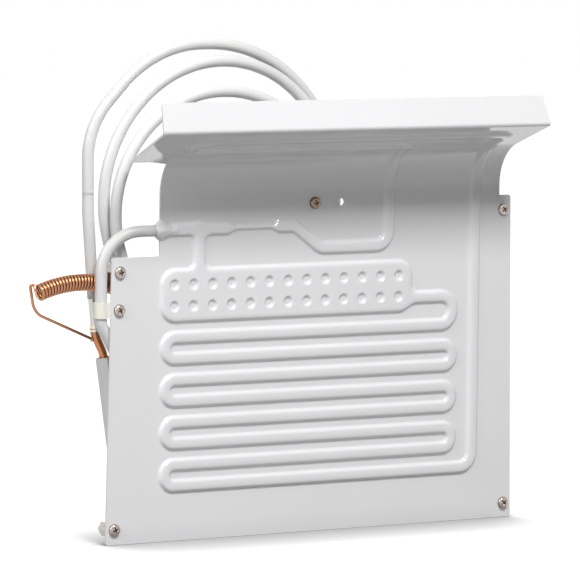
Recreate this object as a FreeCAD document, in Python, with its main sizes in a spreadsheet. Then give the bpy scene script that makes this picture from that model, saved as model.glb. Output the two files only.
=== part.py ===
import FreeCAD, Part
import Sketcher
import math
import os
from FreeCAD import Placement, Rotation, Vector

# Roll-bond evaporator plate of a small refrigerator, in millimetres.
# X runs to the right, Y to the back and Z up.
# The origin lies midway between the two lower standoffs, on the plane of their rear ends.

doc = FreeCAD.newDocument("EvaporatorPlate")
sheet = doc.addObject("Spreadsheet::Sheet", "Sizes")

# Driving dimensions
SIZES = {
    # The plate as it is folded
    "skin_thickness": 0.75,
    "foot_width": 356,
    "head_width": 348,
    "left_flange_height": 209.5,
    "right_flange_height": 245.7,
    "notch_width": 39.3,
    "notch_height": 67.5,
    "right_step": 10.2,
    "bend_start": 252.6,
    "bend_radius": 35.6,
    "bend_angle": 70.2,
    "shelf_length": 47.7,
    "shelf_inset": 1.3,
    "wing_setback": 8.7,
    "lip_height": 21.9,
    "lip_taper": 2.5,
    "lip_fold_radius": 1.2,
    "corner_radius": 2,
    # The channels between the two skins
    "channel_width": 10.5,
    "channel_rise": 2.5,
    "channel_pitch": 15.56,
    "crest_inset": 0.22,
    "shoulder_inset": 0.08,
    "shoulder_level": 0.6,
    "loop_pairs": 4,
    "lowest_run": 40.4,
    "serpentine_width": 261.8,
    "riser_gap": 8.9,
    "riser_bend": 11.5,
    "shelf_run_front": 26,
    "shelf_run_back": 1,
    "return_riser": 198.4,
    "return_run": 211,
    "port_rise": 18.5,
    "neck_rise": 1.95,
    "neck_width": 4.6,
    "neck_start": 65.2,
    "neck_end": 94.2,
    "neck_taper": 8.2,
    "slant_start": 115.2,
    "slant_end": 138.2,
    "branch_offset": 33.5,
    # The dimpled accumulator
    "pad_gap": 5.1,
    "pad_length": 220.2,
    "pad_height": 40.6,
    "pad_corner": 13,
    "pad_outlet": 11.2,
    "dimple_columns": 13,
    "dimple_pitch": 16.27,
    "dimple_row_gap": 15.8,
    "dimple_start": 11.6,
    "dimple_rise": 12.6,
    "dimple_mouth": 8.2,
    "dimple_floor": 4,
    # Fasteners
    "screw_edge": 6.8,
    "screw_rise": 11,
    "screw_drop": 11,
    "screw_diameter": 4,
    "screw_clearance": 0.25,
    "screw_length": 7,
    "head_diameter": 9,
    "head_height": 2.7,
    "recess_width": 1.1,
    "recess_span": 4.6,
    "recess_depth": 1.4,
    "standoff_length": 12,
    "standoff_flats": 10.4,
    "front_thread_depth": 6.5,
    "rear_thread_depth": 4.5,
    "nut_flats": 7,
    "nut_height": 3.2,
    "nut_clearance": 0.05,
    "centre_screw_height": 244.5,
    "centre_screw_shift": 1.6,
    "spare_hole_shift": 21.3,
    "spare_hole_diameter": 5.4,
    # Suction line
    "tube_diameter": 6.35,
    "sleeve_wall": 1.2,
    "socket_clearance": 0.05,
    "port_depth": 11,
    "collar_diameter": 16,
    "first_bend": 20,
    "drop_clearance": 1.8,
    "entry_bend": 30.5,
    "clip_bend": 12,
    "shoulder_bend": 60,
    "run_gap": 4.58,
    "run_depth": 6.8,
    "joint_diameter": 7.8,
    "joint_length": 5.5,
    "shoulder_rise": 75,
    "seam_rise": 26,
    "last_corner_rise": 12,
    "last_shift": 9.1,
    "second_sleeve_rise": 6.5,
    "joint_drop": 15.2,
    "tail_corner_drop": 18.8,
    "tail_corner_shift": 7.2,
    "tail_drop": 85,
    "tail_shift": 13,
    "tail_round_end": 6,
    "coil_entry_angle": -127.8,
    "coil_entry_narrowing": 0.25,
    "coil_radius_entry": 127.8,
    "coil_radius_first": 90,
    "coil_radius_second": 96,
    "coil_radius_third": 106,
    "coil_rise_first": 10,
    "coil_rise_second": 24,
    "coil_rise_third": 28.5,
    "coil_shift": 109.3,
    "coil_entry_shift": 6.1,
    "coil_depth_first": 8.9,
    "coil_depth_third": 29.8,
    "last_depth": 31,
    # Pipe clip
    "clip_drop": 27.5,
    "clip_width": 11.5,
    "clip_wall": 1.2,
    "clip_leg": 2.4,
    # Capillary tube
    "capillary_diameter": 1.9,
    "helix_radius": 5.1,
    "helix_turns": 27,
    "helix_length": 60,
    "helix_bow": 4.9,
    "helix_depth": 18.7,
    "helix_shift": 19.2,
    "helix_rise": 20.5,
    # Folded card round the tail
    "card_wall": 0.7,
    "card_width": 13.8,
    "card_thickness": 9.6,
    "card_drop": 3,
    "card_length": 76,
}

for row, (alias, number) in enumerate(SIZES.items(), start=1):
    sheet.set("A%d" % row, alias.replace("_", " "))
    sheet.set("B%d" % row, str(number))
    sheet.setAlias("B%d" % row, alias)
doc.recompute()


def size(alias):
    return float(getattr(sheet, alias))


def size_count(alias):
    return int(round(size(alias)))


def value(expression):
    return float(sheet.evalExpression(expression))


# Places that several pieces share
SKIN = size("skin_thickness")
SHEET = 2 * SKIN
FOOT = -size("screw_rise")
FRONT = -(size("standoff_length") + SHEET)
BEND = math.radians(size("bend_angle"))
BEND_RADIUS = size("bend_radius")
HALF_HEAD = size("head_width") / 2
NOTCH = size("notch_width") - HALF_HEAD
CHANNEL = size("channel_width")
TUBE_RADIUS = size("tube_diameter") / 2
SLEEVE_RADIUS = TUBE_RADIUS + size("sleeve_wall")
PORT_EXPRESSION = "(Sizes.left_flange_height + Sizes.port_rise)"
PORT_HEIGHT = value(PORT_EXPRESSION)
FRONT_EXPRESSION = "-(Sizes.standoff_length + 2 * Sizes.skin_thickness)"


def half_width_at(height):
    """Expression for half the plate's width at a height above its foot, between the flanges' edges."""
    slant = "(Sizes.foot_width - Sizes.head_width) * (%s) / Sizes.right_flange_height" % height
    return "(Sizes.foot_width - %s) / 2" % slant


def screw_place(side, height):
    """Expressions for X and Z of a screw near the left (-1) or right (1) edge."""
    return "%d * (%s - Sizes.screw_edge)" % (side, half_width_at(height)), "%s - Sizes.screw_rise" % height


THREAD_BORE = "Sizes.screw_diameter / 2 + Sizes.nut_clearance"
UPPER_LEFT = "Sizes.left_flange_height - Sizes.screw_drop"
UPPER_RIGHT = "Sizes.right_flange_height - Sizes.screw_drop"
CLIP_HEIGHT = "Sizes.left_flange_height - Sizes.screw_drop - Sizes.clip_drop"
WALL_PLACES = {
    "lower_left": screw_place(-1, "Sizes.screw_rise"),
    "lower_right": screw_place(1, "Sizes.screw_rise"),
    "upper_left": screw_place(-1, UPPER_LEFT),
    "upper_right": screw_place(1, UPPER_RIGHT),
}
CLIP_PLACE = screw_place(-1, CLIP_HEIGHT)
CENTRE_PLACE = ("-Sizes.centre_screw_shift", "Sizes.centre_screw_height - Sizes.screw_rise")
SPARE_PLACE = ("Sizes.spare_hole_shift", "Sizes.centre_screw_height - Sizes.screw_rise")


# Curves and solids
def rounded_edges(corners, closed=False):
    """Straight runs joined by tangent arcs. A corner is (point, radius), and radius None fills its runs."""
    count = len(corners)
    points = [corner[0] for corner in corners]
    edges = []
    last = None
    first = None
    for i, (point, radius) in enumerate(corners):
        if not closed and i in (0, count - 1):
            start = middle = end = point
        else:
            back = points[i - 1] - point
            ahead = points[(i + 1) % count] - point
            half_turn = (math.pi - back.getAngle(ahead)) / 2
            room = 0.5 * min(back.Length, ahead.Length)
            reach = room if radius is None else radius * math.tan(half_turn)
            start = point + back.normalize() * reach
            end = point + ahead.normalize() * reach
            arc_radius = reach / math.tan(half_turn)
            inward = (back + ahead).normalize()
            middle = point + inward * (arc_radius / math.cos(half_turn) - arc_radius)
        if last is not None and last.distanceToPoint(start) > 0.01:
            edges.append(Part.makeLine(last, start))
        if start.distanceToPoint(end) > 0.01:
            edges.append(Part.Arc(start, middle, end).toShape())
        first = first or start
        last = end
    if closed and last.distanceToPoint(first) > 0.01:
        edges.append(Part.makeLine(last, first))
    return edges


def fused(shapes):
    return shapes[0].fuse(shapes[1:]) if len(shapes) > 1 else shapes[0]


def round_bar(x, height, depth, radius, length, direction=Vector(1, 0, 0)):
    return Part.makeCylinder(radius, length, Vector(x, FRONT + depth, FOOT + height), direction)


SHORTEST_CHORD = SHEET


def between(first, last, share):
    return first + (last - first) * share


def path_points(corners, sag):
    """Points along a path, with arcs divided into chords that stray from them by about this much."""
    points = []
    for edge in rounded_edges(corners):
        pieces = 1
        if isinstance(edge.Curve, Part.Circle):
            radius = edge.Curve.Radius
            pieces = max(1, round(edge.Length / radius / (2 * math.acos(1 - sag / radius))))
        first, last = edge.ParameterRange
        for i in range(pieces):
            point = edge.valueAt(between(first, last, i / pieces))
            if not points or point.distanceToPoint(points[-1]) > SHORTEST_CHORD:
                points.append(point)
    end = edge.valueAt(edge.LastParameter)
    if end.distanceToPoint(points[-1]) < SHORTEST_CHORD:
        points.pop()
    return points + [end]


def flat_sided_solid(rings):
    """Solid between successive rings of corners."""
    ends = (rings[0][::-1], rings[-1])
    faces = [Part.Face(Part.makePolygon(end + end[:1])) for end in ends]
    for near, far in zip(rings, rings[1:]):
        for i in range(len(near)):
            corners = [near[i - 1], near[i], far[i], far[i - 1]]
            faces.append(Part.Face(Part.makePolygon(corners + corners[:1])))
    solid = Part.Solid(Part.Shell(faces))
    if solid.Volume < 0:
        solid.reverse()
    return solid


def mitred_solid(points, ring):
    """Solid whose cross-section follows the points and is mitred at each of them."""
    rings = [ring]
    for i in range(1, len(points)):
        along = (points[i] - points[i - 1]).normalize()
        normal = along
        if i < len(points) - 1:
            normal = (along + (points[i + 1] - points[i]).normalize()).normalize()
        ring = [corner + along * ((points[i] - corner).dot(normal) / along.dot(normal)) for corner in ring]
        rings.append(ring)
    return flat_sided_solid(rings)


def round_ring(middle, along, radius, sides):
    """Corners of a regular polygon square to a direction."""
    across = Vector(0, 1, 0) if abs(along.y) < 0.9 else Vector(0, 0, 1)
    across = (across - along * across.dot(along)).normalize()
    other = along.cross(across)
    turns = [2 * math.pi * (i + 0.5) / sides for i in range(sides)]
    return [middle + (across * math.cos(turn) + other * math.sin(turn)) * radius for turn in turns]


def flat_sided_bar(points, radius, sides):
    """Bar with few flats that follows the points."""
    return mitred_solid(points, round_ring(points[0], (points[1] - points[0]).normalize(), radius, sides))


# The folded sheet
BEND_AXIS = Vector(0, FRONT - BEND_RADIUS, FOOT + size("bend_start"))
ALONG_SHELF = Vector(0, -math.sin(BEND), math.cos(BEND))
BEHIND_SHELF = Vector(0, math.cos(BEND), math.sin(BEND))
SHELF_START = BEND_AXIS + BEHIND_SHELF * BEND_RADIUS
SHELF_CORNER = SHELF_START + ALONG_SHELF * size("shelf_length")


def sheet_edges(depth, with_lip):
    """Side view of the surface that lies at this depth behind the front face, from the foot upwards."""
    radius = BEND_RADIUS + depth
    foot = Vector(0, FRONT + depth, FOOT)
    bend_low = Vector(0, FRONT + depth, BEND_AXIS.z)
    bend_middle = BEND_AXIS + Vector(0, math.cos(BEND / 2), math.sin(BEND / 2)) * radius
    bend_high = BEND_AXIS + BEHIND_SHELF * radius
    edges = [Part.makeLine(foot, bend_low), Part.Arc(bend_low, bend_middle, bend_high).toShape()]
    fold = SHEET + size("lip_fold_radius")
    fold_start = SHELF_CORNER - ALONG_SHELF * fold + BEHIND_SHELF * depth
    edges.append(Part.makeLine(bend_high, fold_start))
    if not with_lip:
        return edges, foot, fold_start
    fold_axis = SHELF_CORNER + (BEHIND_SHELF - ALONG_SHELF) * fold
    outward = (ALONG_SHELF - BEHIND_SHELF).normalize()
    fold_end = SHELF_CORNER + BEHIND_SHELF * fold - ALONG_SHELF * depth
    edges.append(Part.Arc(fold_start, fold_axis + outward * (fold - depth), fold_end).toShape())
    lip_end = fold_end + BEHIND_SHELF * (size("lip_height") - fold + SHEET)
    edges.append(Part.makeLine(fold_end, lip_end))
    return edges, foot, lip_end


def slab(near, far, with_lip=False):
    """Folded slab between two depths, wider than the plate."""
    near_edges, near_foot, near_end = sheet_edges(near, with_lip)
    far_edges, far_foot, far_end = sheet_edges(far, with_lip)
    top = Part.makeLine(near_end, far_end)
    bottom = Part.makeLine(far_foot, near_foot)
    face = Part.Face(Part.Wire(near_edges + [top] + far_edges[::-1] + [bottom]))
    face.translate(Vector(-size("foot_width"), 0, 0))
    return face.extrude(Vector(2 * size("foot_width"), 0, 0))


def outline():
    """Front view of the sheet: foot, flanges, notch for the tubes, shelf and lip."""
    corner = size("corner_radius")
    half_foot = size("foot_width") / 2
    left_top = FOOT + size("left_flange_height")
    right_top = FOOT + size("right_flange_height")
    notch_top = left_top + size("notch_height")
    left_edge = -value(half_width_at("Sizes.left_flange_height"))
    bend_right = HALF_HEAD - size("right_step")
    shelf_left = size("shelf_inset") - HALF_HEAD
    wing = shelf_left + size("wing_setback")
    shelf_right = bend_right - size("shelf_inset")
    lip_top = (SHELF_CORNER + BEHIND_SHELF * size("lip_height")).z
    taper = size("lip_taper")
    places = [
        (-half_foot, FOOT, corner),
        (half_foot, FOOT, corner),
        (HALF_HEAD, right_top, corner),
        (bend_right, right_top, 0),
        (bend_right, BEND_AXIS.z, 0),
        (shelf_right, SHELF_CORNER.z, 0),
        (shelf_right - taper, lip_top, corner),
        (shelf_left + taper, lip_top, corner),
        (shelf_left, SHELF_CORNER.z, 0),
        (wing, SHELF_START.z, 0),
        (wing, notch_top, 0),
        (NOTCH, notch_top, 0),
        (NOTCH, left_top, 0),
        (left_edge, left_top, corner),
    ]
    back = 4 * size("standoff_length")
    ring = Part.Wire(rounded_edges([(Vector(x, back, z), radius) for x, z, radius in places], closed=True))
    return Part.Face(ring).extrude(Vector(0, -10 * back, 0))


def holes():
    """Bores through the sheet for the screws, and the spare hole beside the centre screw."""
    bores = []
    screw_bore = size("screw_diameter") / 2 + size("screw_clearance")
    for x, z in list(WALL_PLACES.values()) + [CLIP_PLACE, CENTRE_PLACE]:
        bores.append((value(x), value(z), screw_bore))
    bores.append((value(SPARE_PLACE[0]), value(SPARE_PLACE[1]), size("spare_hole_diameter") / 2))
    start = FRONT - size("standoff_length")
    reach = Vector(0, 1, 0)
    length = -2 * start
    return [Part.makeCylinder(bore, length, Vector(x, start, z), reach) for x, z, bore in bores]


# The channels
CHANNEL_SAG = 0.16 * SKIN


def section(width, rise, shrink):
    """Half widths and depths of a channel from inside the sheet to its crest, outside or one skin within."""
    run = size("crest_inset") * width
    slope = run / rise
    if shrink:
        half = width / 2 - shrink * math.hypot(1, slope)
        return [(half + SHEET * slope, SHEET), (half - (rise - shrink) * slope, shrink - rise)]
    shoulder = size("shoulder_inset") * width
    level = size("shoulder_level") * rise
    root = SKIN / 2
    foot = width / 2 + root * shoulder / level
    return [(foot, root), (width / 2 - shoulder, -level), (width / 2 - run, -rise)]


def section_ring(point, along, outward, width, rise, shrink):
    """Corners of a channel's cross-section at a point of its path."""
    side = along.cross(outward).normalize()
    levels = section(width, rise, shrink)
    right = [point + side * half - outward * depth for half, depth in levels]
    left = [point - side * half - outward * depth for half, depth in levels]
    return right + left[::-1]


def channel(corners, shrink, outward=Vector(0, -1, 0)):
    """Channel along a path that lies in the front face, with narrow flats in place of arcs."""
    along = (corners[1][0] - corners[0][0]).normalize()
    ring = section_ring(corners[0][0], along, outward, CHANNEL, size("channel_rise"), shrink)
    return mitred_solid(path_points(corners, CHANNEL_SAG), ring)


TOP_RUN = size("lowest_run") + (2 * size("loop_pairs") - 1) * size("channel_pitch")
PAD_FOOT = TOP_RUN + CHANNEL / 2 + size("pad_gap")


def on_plate(x, height, depth=0):
    return Vector(x, FRONT + depth, FOOT + height)


def on_shelf(x, run):
    return SHELF_START + ALONG_SHELF * run + Vector(x, 0, 0)


def bend_corner(x):
    """Corner of a riser's path over the bend, with the radius that follows the bend."""
    return on_plate(x, size("bend_start") + BEND_RADIUS * math.tan(BEND / 2)), BEND_RADIUS


def serpentine():
    """Path from the accumulator down the runs, up the right-hand riser and round the shelf."""
    left = NOTCH + CHANNEL / 2
    right = NOTCH + size("serpentine_width") - CHANNEL / 2
    riser = right + CHANNEL + size("riser_gap")
    outlet = PAD_FOOT + size("pad_outlet")
    pad_end = NOTCH + size("pad_length")
    corners = [(on_plate(pad_end - CHANNEL, outlet), 0), (on_plate(right, outlet), None)]
    for loop in range(size_count("loop_pairs")):
        upper = TOP_RUN - 2 * loop * size("channel_pitch")
        lower = upper - size("channel_pitch")
        corners += [(on_plate(right, upper), None), (on_plate(left, upper), None)]
        corners += [(on_plate(left, lower), None), (on_plate(right, lower), None)]
    corners[-1] = (on_plate(riser, size("lowest_run")), size("riser_bend"))
    corners.append(bend_corner(riser))
    corners.append((on_shelf(riser, size("shelf_run_front")), size("riser_bend")))
    corners.append((on_shelf(left, size("shelf_run_front")), None))
    corners.append((on_shelf(left, size("shelf_run_back")), None))
    end = NOTCH + size("return_riser") + 0.4 * CHANNEL
    corners.append((on_shelf(end, size("shelf_run_back")), 0))
    return corners


def return_path():
    """Path from the shelf down the middle riser to the crimped neck."""
    riser = NOTCH + size("return_riser")
    bend = size("riser_bend")
    return [
        (on_shelf(riser, size("shelf_run_back") + 0.4 * CHANNEL), 0),
        bend_corner(riser),
        (on_plate(riser, size("return_run")), bend),
        (on_plate(NOTCH + size("slant_end"), size("return_run")), bend),
        (on_plate(NOTCH + size("slant_start"), PORT_HEIGHT), bend),
        (on_plate(NOTCH + size("neck_end") + size("neck_taper"), PORT_HEIGHT), 0),
    ]


def neck(shrink):
    """Narrow crimped neck round the capillary tube, with a taper at each end."""
    start = NOTCH + size("neck_start")
    end = NOTCH + size("neck_end")
    taper = size("neck_taper")
    wide = (CHANNEL, size("channel_rise"))
    narrow = (size("neck_width"), size("neck_rise"))
    stations = [(start - taper, wide), (start, narrow), (end, narrow), (end + taper, wide)]
    rings = []
    for x, (width, rise) in stations:
        middle = on_plate(x, PORT_HEIGHT)
        ring = section_ring(middle, Vector(1, 0, 0), Vector(0, -1, 0), width, rise, shrink)
        rings.append(Part.makePolygon(ring + ring[:1]))
    return Part.makeLoft(rings, True, True)


def socket(grow):
    """Round port at the notch that the suction tube enters, narrowing into the channel."""
    radius = TUBE_RADIUS + size("socket_clearance") + grow
    length = size("port_depth")
    cone_end = on_plate(NOTCH + length, PORT_HEIGHT, SKIN)
    narrow = radius - 0.4 * TUBE_RADIUS
    return [
        round_bar(NOTCH, PORT_HEIGHT, SKIN, radius, length),
        Part.makeCone(radius, narrow, TUBE_RADIUS, cone_end, Vector(1, 0, 0)),
    ]


def frustum(start, end, start_radius, end_radius, sides):
    """Tapered post or pit with narrow flats."""
    along = (end - start).normalize()
    rings = [round_ring(start, along, start_radius, sides), round_ring(end, along, end_radius, sides)]
    return flat_sided_solid(rings)


def pad(shrink):
    """Accumulator: a raised field held down by two rows of tapered dimples."""
    rise = size("channel_rise")
    rings = []
    for half, depth in section(CHANNEL, rise, shrink):
        inset = CHANNEL / 2 - half
        left = NOTCH + inset
        right = NOTCH + size("pad_length") - inset
        low = PAD_FOOT + inset
        high = PAD_FOOT + size("pad_height") - inset
        corner = size("pad_corner") - inset
        places = [(left, low), (right, low), (right, high), (left, high)]
        ring = [(on_plate(x, height, depth), corner) for x, height in places]
        rings.append(Part.Wire(rounded_edges(ring, closed=True)))
    field = Part.makeLoft(rings, True, True)
    slope = (size("dimple_mouth") - size("dimple_floor")) / 2 / rise
    wall = shrink * math.hypot(1, slope)
    top = shrink - rise
    bottom = SHEET if shrink else 0
    pits = []
    for row in range(2):
        height = PAD_FOOT + size("dimple_rise") + row * size("dimple_row_gap")
        for column in range(size_count("dimple_columns")):
            x = NOTCH + size("dimple_start") + column * size("dimple_pitch")
            near = size("dimple_floor") / 2 + wall - slope * top
            far = size("dimple_floor") / 2 + wall - slope * bottom
            sides = 8 if shrink else 10
            pits.append(frustum(on_plate(x, height, top), on_plate(x, height, bottom), near, far, sides))
    return field.cut(Part.makeCompound(pits))


def network(shrink):
    """All channels, either their outsides or the passages one skin within them."""
    port_start = NOTCH + size("port_depth")
    port_end = NOTCH + size("neck_start") - size("neck_taper")
    branch_x = NOTCH + size("branch_offset")
    branch_foot = PAD_FOOT + size("pad_height") - CHANNEL / 2
    port = [(on_plate(port_start, PORT_HEIGHT), 0), (on_plate(port_end, PORT_HEIGHT), 0)]
    branch = [(on_plate(branch_x, branch_foot), 0), (on_plate(branch_x, PORT_HEIGHT), 0)]
    return [
        pad(shrink),
        neck(shrink),
        channel(serpentine(), shrink),
        channel(return_path(), shrink, -BEHIND_SHELF),
        channel(port, shrink),
        channel(branch, shrink),
    ]


# Builders for the pieces
def piece(name, shape):
    """Keep a finished shape as a named piece."""
    feature = doc.addObject("Part::Feature", name)
    feature.Shape = shape
    feature.Placement = Placement()
    return feature


def bind(item, settings):
    for path, expression in settings.items():
        item.setExpression(path, expression)
    return item


def bind_place(item, x, y, z):
    return bind(item, {"Placement.Base.x": x, "Placement.Base.y": y, "Placement.Base.z": z})


def origin_plane(body, role):
    return [item for item in body.Origin.OriginFeatures if item.Role == role][0]


def add_body(name, place, y):
    body = doc.addObject("PartDesign::Body", name)
    bind_place(body, place[0], y, place[1])
    return body


def bind_corner(sketch, corner, axis, expression):
    """Hold one coordinate of a corner to an expression, measured from the sketch's origin."""
    number = value(expression)
    if abs(number) < 1e-9:
        line = -2 if axis == "DistanceX" else -1
        sketch.addConstraint(Sketcher.Constraint("PointOnObject", corner, 1, line))
        return
    ends = (-1, 1, corner, 1) if number > 0 else (corner, 1, -1, 1)
    index = sketch.addConstraint(Sketcher.Constraint(axis, *ends, abs(number)))
    sketch.setExpression("Constraints[%d]" % index, expression if number > 0 else "-(%s)" % expression)


def polygon_sketch(body, name, role, corners):
    """Closed outline on an origin plane, each corner a pair of expressions."""
    sketch = body.newObject("Sketcher::SketchObject", name)
    sketch.AttachmentSupport = (origin_plane(body, role), [""])
    sketch.MapMode = "FlatFace"
    points = [Vector(value(x), value(y), 0) for x, y in corners]
    for i, point in enumerate(points):
        sketch.addGeometry(Part.LineSegment(point, points[(i + 1) % len(points)]), False)
    for i in range(len(points)):
        sketch.addConstraint(Sketcher.Constraint("Coincident", i, 2, (i + 1) % len(points), 1))
    for i, (x, y) in enumerate(corners):
        bind_corner(sketch, i, "DistanceX", x)
        bind_corner(sketch, i, "DistanceY", y)
    sketch.Visibility = False
    return sketch


def circle_sketch(body, name, role, radius):
    sketch = body.newObject("Sketcher::SketchObject", name)
    sketch.AttachmentSupport = (origin_plane(body, role), [""])
    sketch.MapMode = "FlatFace"
    sketch.addGeometry(Part.Circle(Vector(0, 0, 0), Vector(0, 0, 1), value(radius)), False)
    sketch.addConstraint(Sketcher.Constraint("Coincident", 0, 3, -1, 1))
    index = sketch.addConstraint(Sketcher.Constraint("Radius", 0, value(radius)))
    sketch.setExpression("Constraints[%d]" % index, radius)
    sketch.Visibility = False
    return sketch


def hexagon(flats):
    """Corners of a hexagon with two level flats, from the expression of its width across flats."""
    wide = "%s / sqrt(3)" % flats
    half = "%s / sqrt(3) / 2" % flats
    tall = "%s / 2" % flats
    return [
        (wide, "0"), (half, tall), ("-" + half, tall),
        ("-" + wide, "0"), ("-" + half, "-" + tall), (half, "-" + tall),
    ]


def revolve(body, name, sketch, axis="V_Axis"):
    turned = body.newObject("PartDesign::Revolution", name)
    turned.Profile = sketch
    turned.ReferenceAxis = (sketch, [axis])
    turned.Angle = 360
    return turned


def add_screw(name, place):
    """Pan-head screw with a cross recess, seated on the front face with its shank to the back."""
    body = add_body(name, place, FRONT_EXPRESSION)
    head = "Sizes.head_diameter / 2"
    rise = "Sizes.head_height"
    shank = "Sizes.screw_diameter / 2"
    corners = [
        ("0", "-" + rise),
        (head, "-" + rise),
        (head, "0"),
        (shank, "0"),
        (shank, "Sizes.screw_length"),
        ("0", "Sizes.screw_length"),
    ]
    revolve(body, name + "_turned", polygon_sketch(body, name + "_profile", "XY_Plane", corners))
    half = "Sizes.recess_width / 2"
    tip = "Sizes.recess_span / 2"
    cross = [
        (half, half), (half, tip), ("-" + half, tip), ("-" + half, half),
        ("-" + tip, half), ("-" + tip, "-" + half), ("-" + half, "-" + half), ("-" + half, "-" + tip),
        (half, "-" + tip), (half, "-" + half), (tip, "-" + half), (tip, half),
    ]
    outline_sketch = polygon_sketch(body, name + "_cross", "XZ_Plane", cross)
    outline_sketch.setExpression("AttachmentOffset.Base.z", rise)
    recess = body.newObject("PartDesign::Pocket", name + "_recess")
    recess.Profile = outline_sketch
    recess.setExpression("Length", "Sizes.recess_depth")
    return body


def add_hexagon(name, place, y, flats, length):
    """Hexagonal bar standing to the front of the given plane."""
    body = add_body(name, place, y)
    bar = body.newObject("PartDesign::Pad", name + "_pad")
    bar.Profile = polygon_sketch(body, name + "_hexagon", "XZ_Plane", hexagon(flats))
    bar.setExpression("Length", length)
    return body


def add_nut(name, place, y):
    body = add_hexagon(name, place, y, "Sizes.nut_flats", "Sizes.nut_height")
    bore = body.newObject("PartDesign::Pocket", name + "_bore")
    bore.Profile = circle_sketch(body, name + "_bore_outline", "XZ_Plane", THREAD_BORE)
    bore.Type = 1
    bore.Midplane = True
    return body


def add_standoff(name, place):
    """Standoff with a blind thread at each end, for the plate's screw and for the wall's."""
    body = add_hexagon(name, place, "0", "Sizes.standoff_flats", "Sizes.standoff_length")
    front = body.newObject("PartDesign::Pocket", name + "_front_thread")
    front.Profile = circle_sketch(body, name + "_front_outline", "XZ_Plane", THREAD_BORE)
    front.Profile[0].setExpression("AttachmentOffset.Base.z", "Sizes.standoff_length")
    front.setExpression("Length", "Sizes.front_thread_depth")
    rear = body.newObject("PartDesign::Pocket", name + "_rear_thread")
    rear.Profile = circle_sketch(body, name + "_rear_outline", "XZ_Plane", THREAD_BORE)
    rear.Reversed = True
    rear.setExpression("Length", "Sizes.rear_thread_depth")
    return body


# The two bonded skins
bump = fused(socket(SKIN))
BUMP_REACH = 2 * SLEEVE_RADIUS
front_shape = slab(0, SKIN, with_lip=True).fuse(network(0) + [bump.cut(slab(SKIN, BUMP_REACH))])
for hollow_shape in network(SKIN) + socket(0) + holes():
    front_shape = front_shape.cut(hollow_shape)
plate_outline = outline()
front_skin = piece("front_skin", front_shape.common(plate_outline))
rear_shape = slab(SKIN, SHEET, with_lip=True).fuse(bump.cut(slab(-BUMP_REACH, SHEET)))
for hollow_shape in socket(0) + holes():
    rear_shape = rear_shape.cut(hollow_shape)
rear_skin = piece("rear_skin", rear_shape.common(plate_outline))

# Fasteners
for corner, place in WALL_PLACES.items():
    add_screw("screw_" + corner, place)
    add_standoff("standoff_" + corner, place)
add_screw("clip_screw", CLIP_PLACE)
add_screw("centre_screw", CENTRE_PLACE)
NUT_FOOT = "-Sizes.standoff_length + Sizes.nut_height"
add_nut("centre_nut", CENTRE_PLACE, NUT_FOOT)
add_nut("clip_nut", CLIP_PLACE, NUT_FOOT + " + Sizes.clip_leg")
doc.recompute()

# Suction line
RUN_X_EXPRESSION = "-%s - Sizes.run_gap" % half_width_at(CLIP_HEIGHT)
RUN_X = value(RUN_X_EXPRESSION)
RUN_DEPTH = size("run_depth")
CLIP_Z = value(CLIP_PLACE[1])
COIL_X = RUN_X + size("coil_shift")
COIL_HEIGHT = PORT_HEIGHT + size("coil_rise_first")
COIL_STEPS = 18
STEPS_PER_TURN = 8
STEP_ANGLE = 360 / STEPS_PER_TURN
ENTRY_STEPS = 4
TUBE_SIDES = 10
TUBE_SAG = 0.103 * SLEEVE_RADIUS


def coil_corner(x, height, radius, angle, depth):
    """Corner of the eight-sided path whose arcs make a turn of this radius."""
    reach = radius / math.cos(math.pi / STEPS_PER_TURN)
    turn = math.radians(angle)
    return on_plate(x + reach * math.cos(turn), height + reach * math.sin(turn), depth)


def coil_corners():
    """Corners of the coil, which widens and rises while it winds away from the plate."""
    corners = []
    first_depth = size("coil_depth_first")
    entry_x = COIL_X - size("coil_entry_shift")
    for step in range(ENTRY_STEPS + 1):
        share = step / ENTRY_STEPS
        angle = size("coil_entry_angle") + STEP_ANGLE / 2 * step
        radius = size("coil_radius_entry") * (1 - size("coil_entry_narrowing") * share ** 3)
        depth = between(RUN_DEPTH, first_depth, share)
        corner = coil_corner(entry_x, COIL_HEIGHT, radius, angle, depth)
        corners.append((corner, None if step else size("entry_bend")))
    radii = [size("coil_radius_first"), size("coil_radius_second"), size("coil_radius_third")]
    heights = [COIL_HEIGHT, PORT_HEIGHT + size("coil_rise_second"), PORT_HEIGHT + size("coil_rise_third")]
    for step in range(COIL_STEPS + 1):
        turn = min(max((step - 1.5) / STEPS_PER_TURN, 0), len(radii) - 1.001)
        whole = int(turn)
        radius = between(radii[whole], radii[whole + 1], turn - whole)
        height = between(heights[whole], heights[whole + 1], turn - whole)
        depth = between(first_depth, size("coil_depth_third"), min((step + 0.5) / COIL_STEPS, 1))
        angle = STEP_ANGLE * (step + 0.5)
        corners.append((coil_corner(COIL_X, height, radius, angle, depth), None))
    return corners


LAST_DEPTH = size("last_depth")
SHOULDER_CORNER = on_plate(RUN_X - TUBE_RADIUS / 4, PORT_HEIGHT + size("shoulder_rise"), LAST_DEPTH)
LAST_CORNER = on_plate(RUN_X, PORT_HEIGHT + size("last_corner_rise"), LAST_DEPTH)
LAST_END = Vector(RUN_X + size("last_shift"), LAST_CORNER.y, CLIP_Z - size("joint_drop"))
LAST_DROP = size("shoulder_rise") - size("last_corner_rise")
SEAM = between(SHOULDER_CORNER, LAST_CORNER, (size("shoulder_rise") - size("seam_rise")) / LAST_DROP)
TUBE_BORE = TUBE_RADIUS + size("socket_clearance")


def last_run(z):
    """Point on the last straight run of the line, by its height."""
    return between(LAST_CORNER, LAST_END, (z - LAST_CORNER.z) / (LAST_END.z - LAST_CORNER.z))


def bar_between(start, end, radius):
    return Part.makeCylinder(radius, start.distanceToPoint(end), start, end - start)


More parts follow.
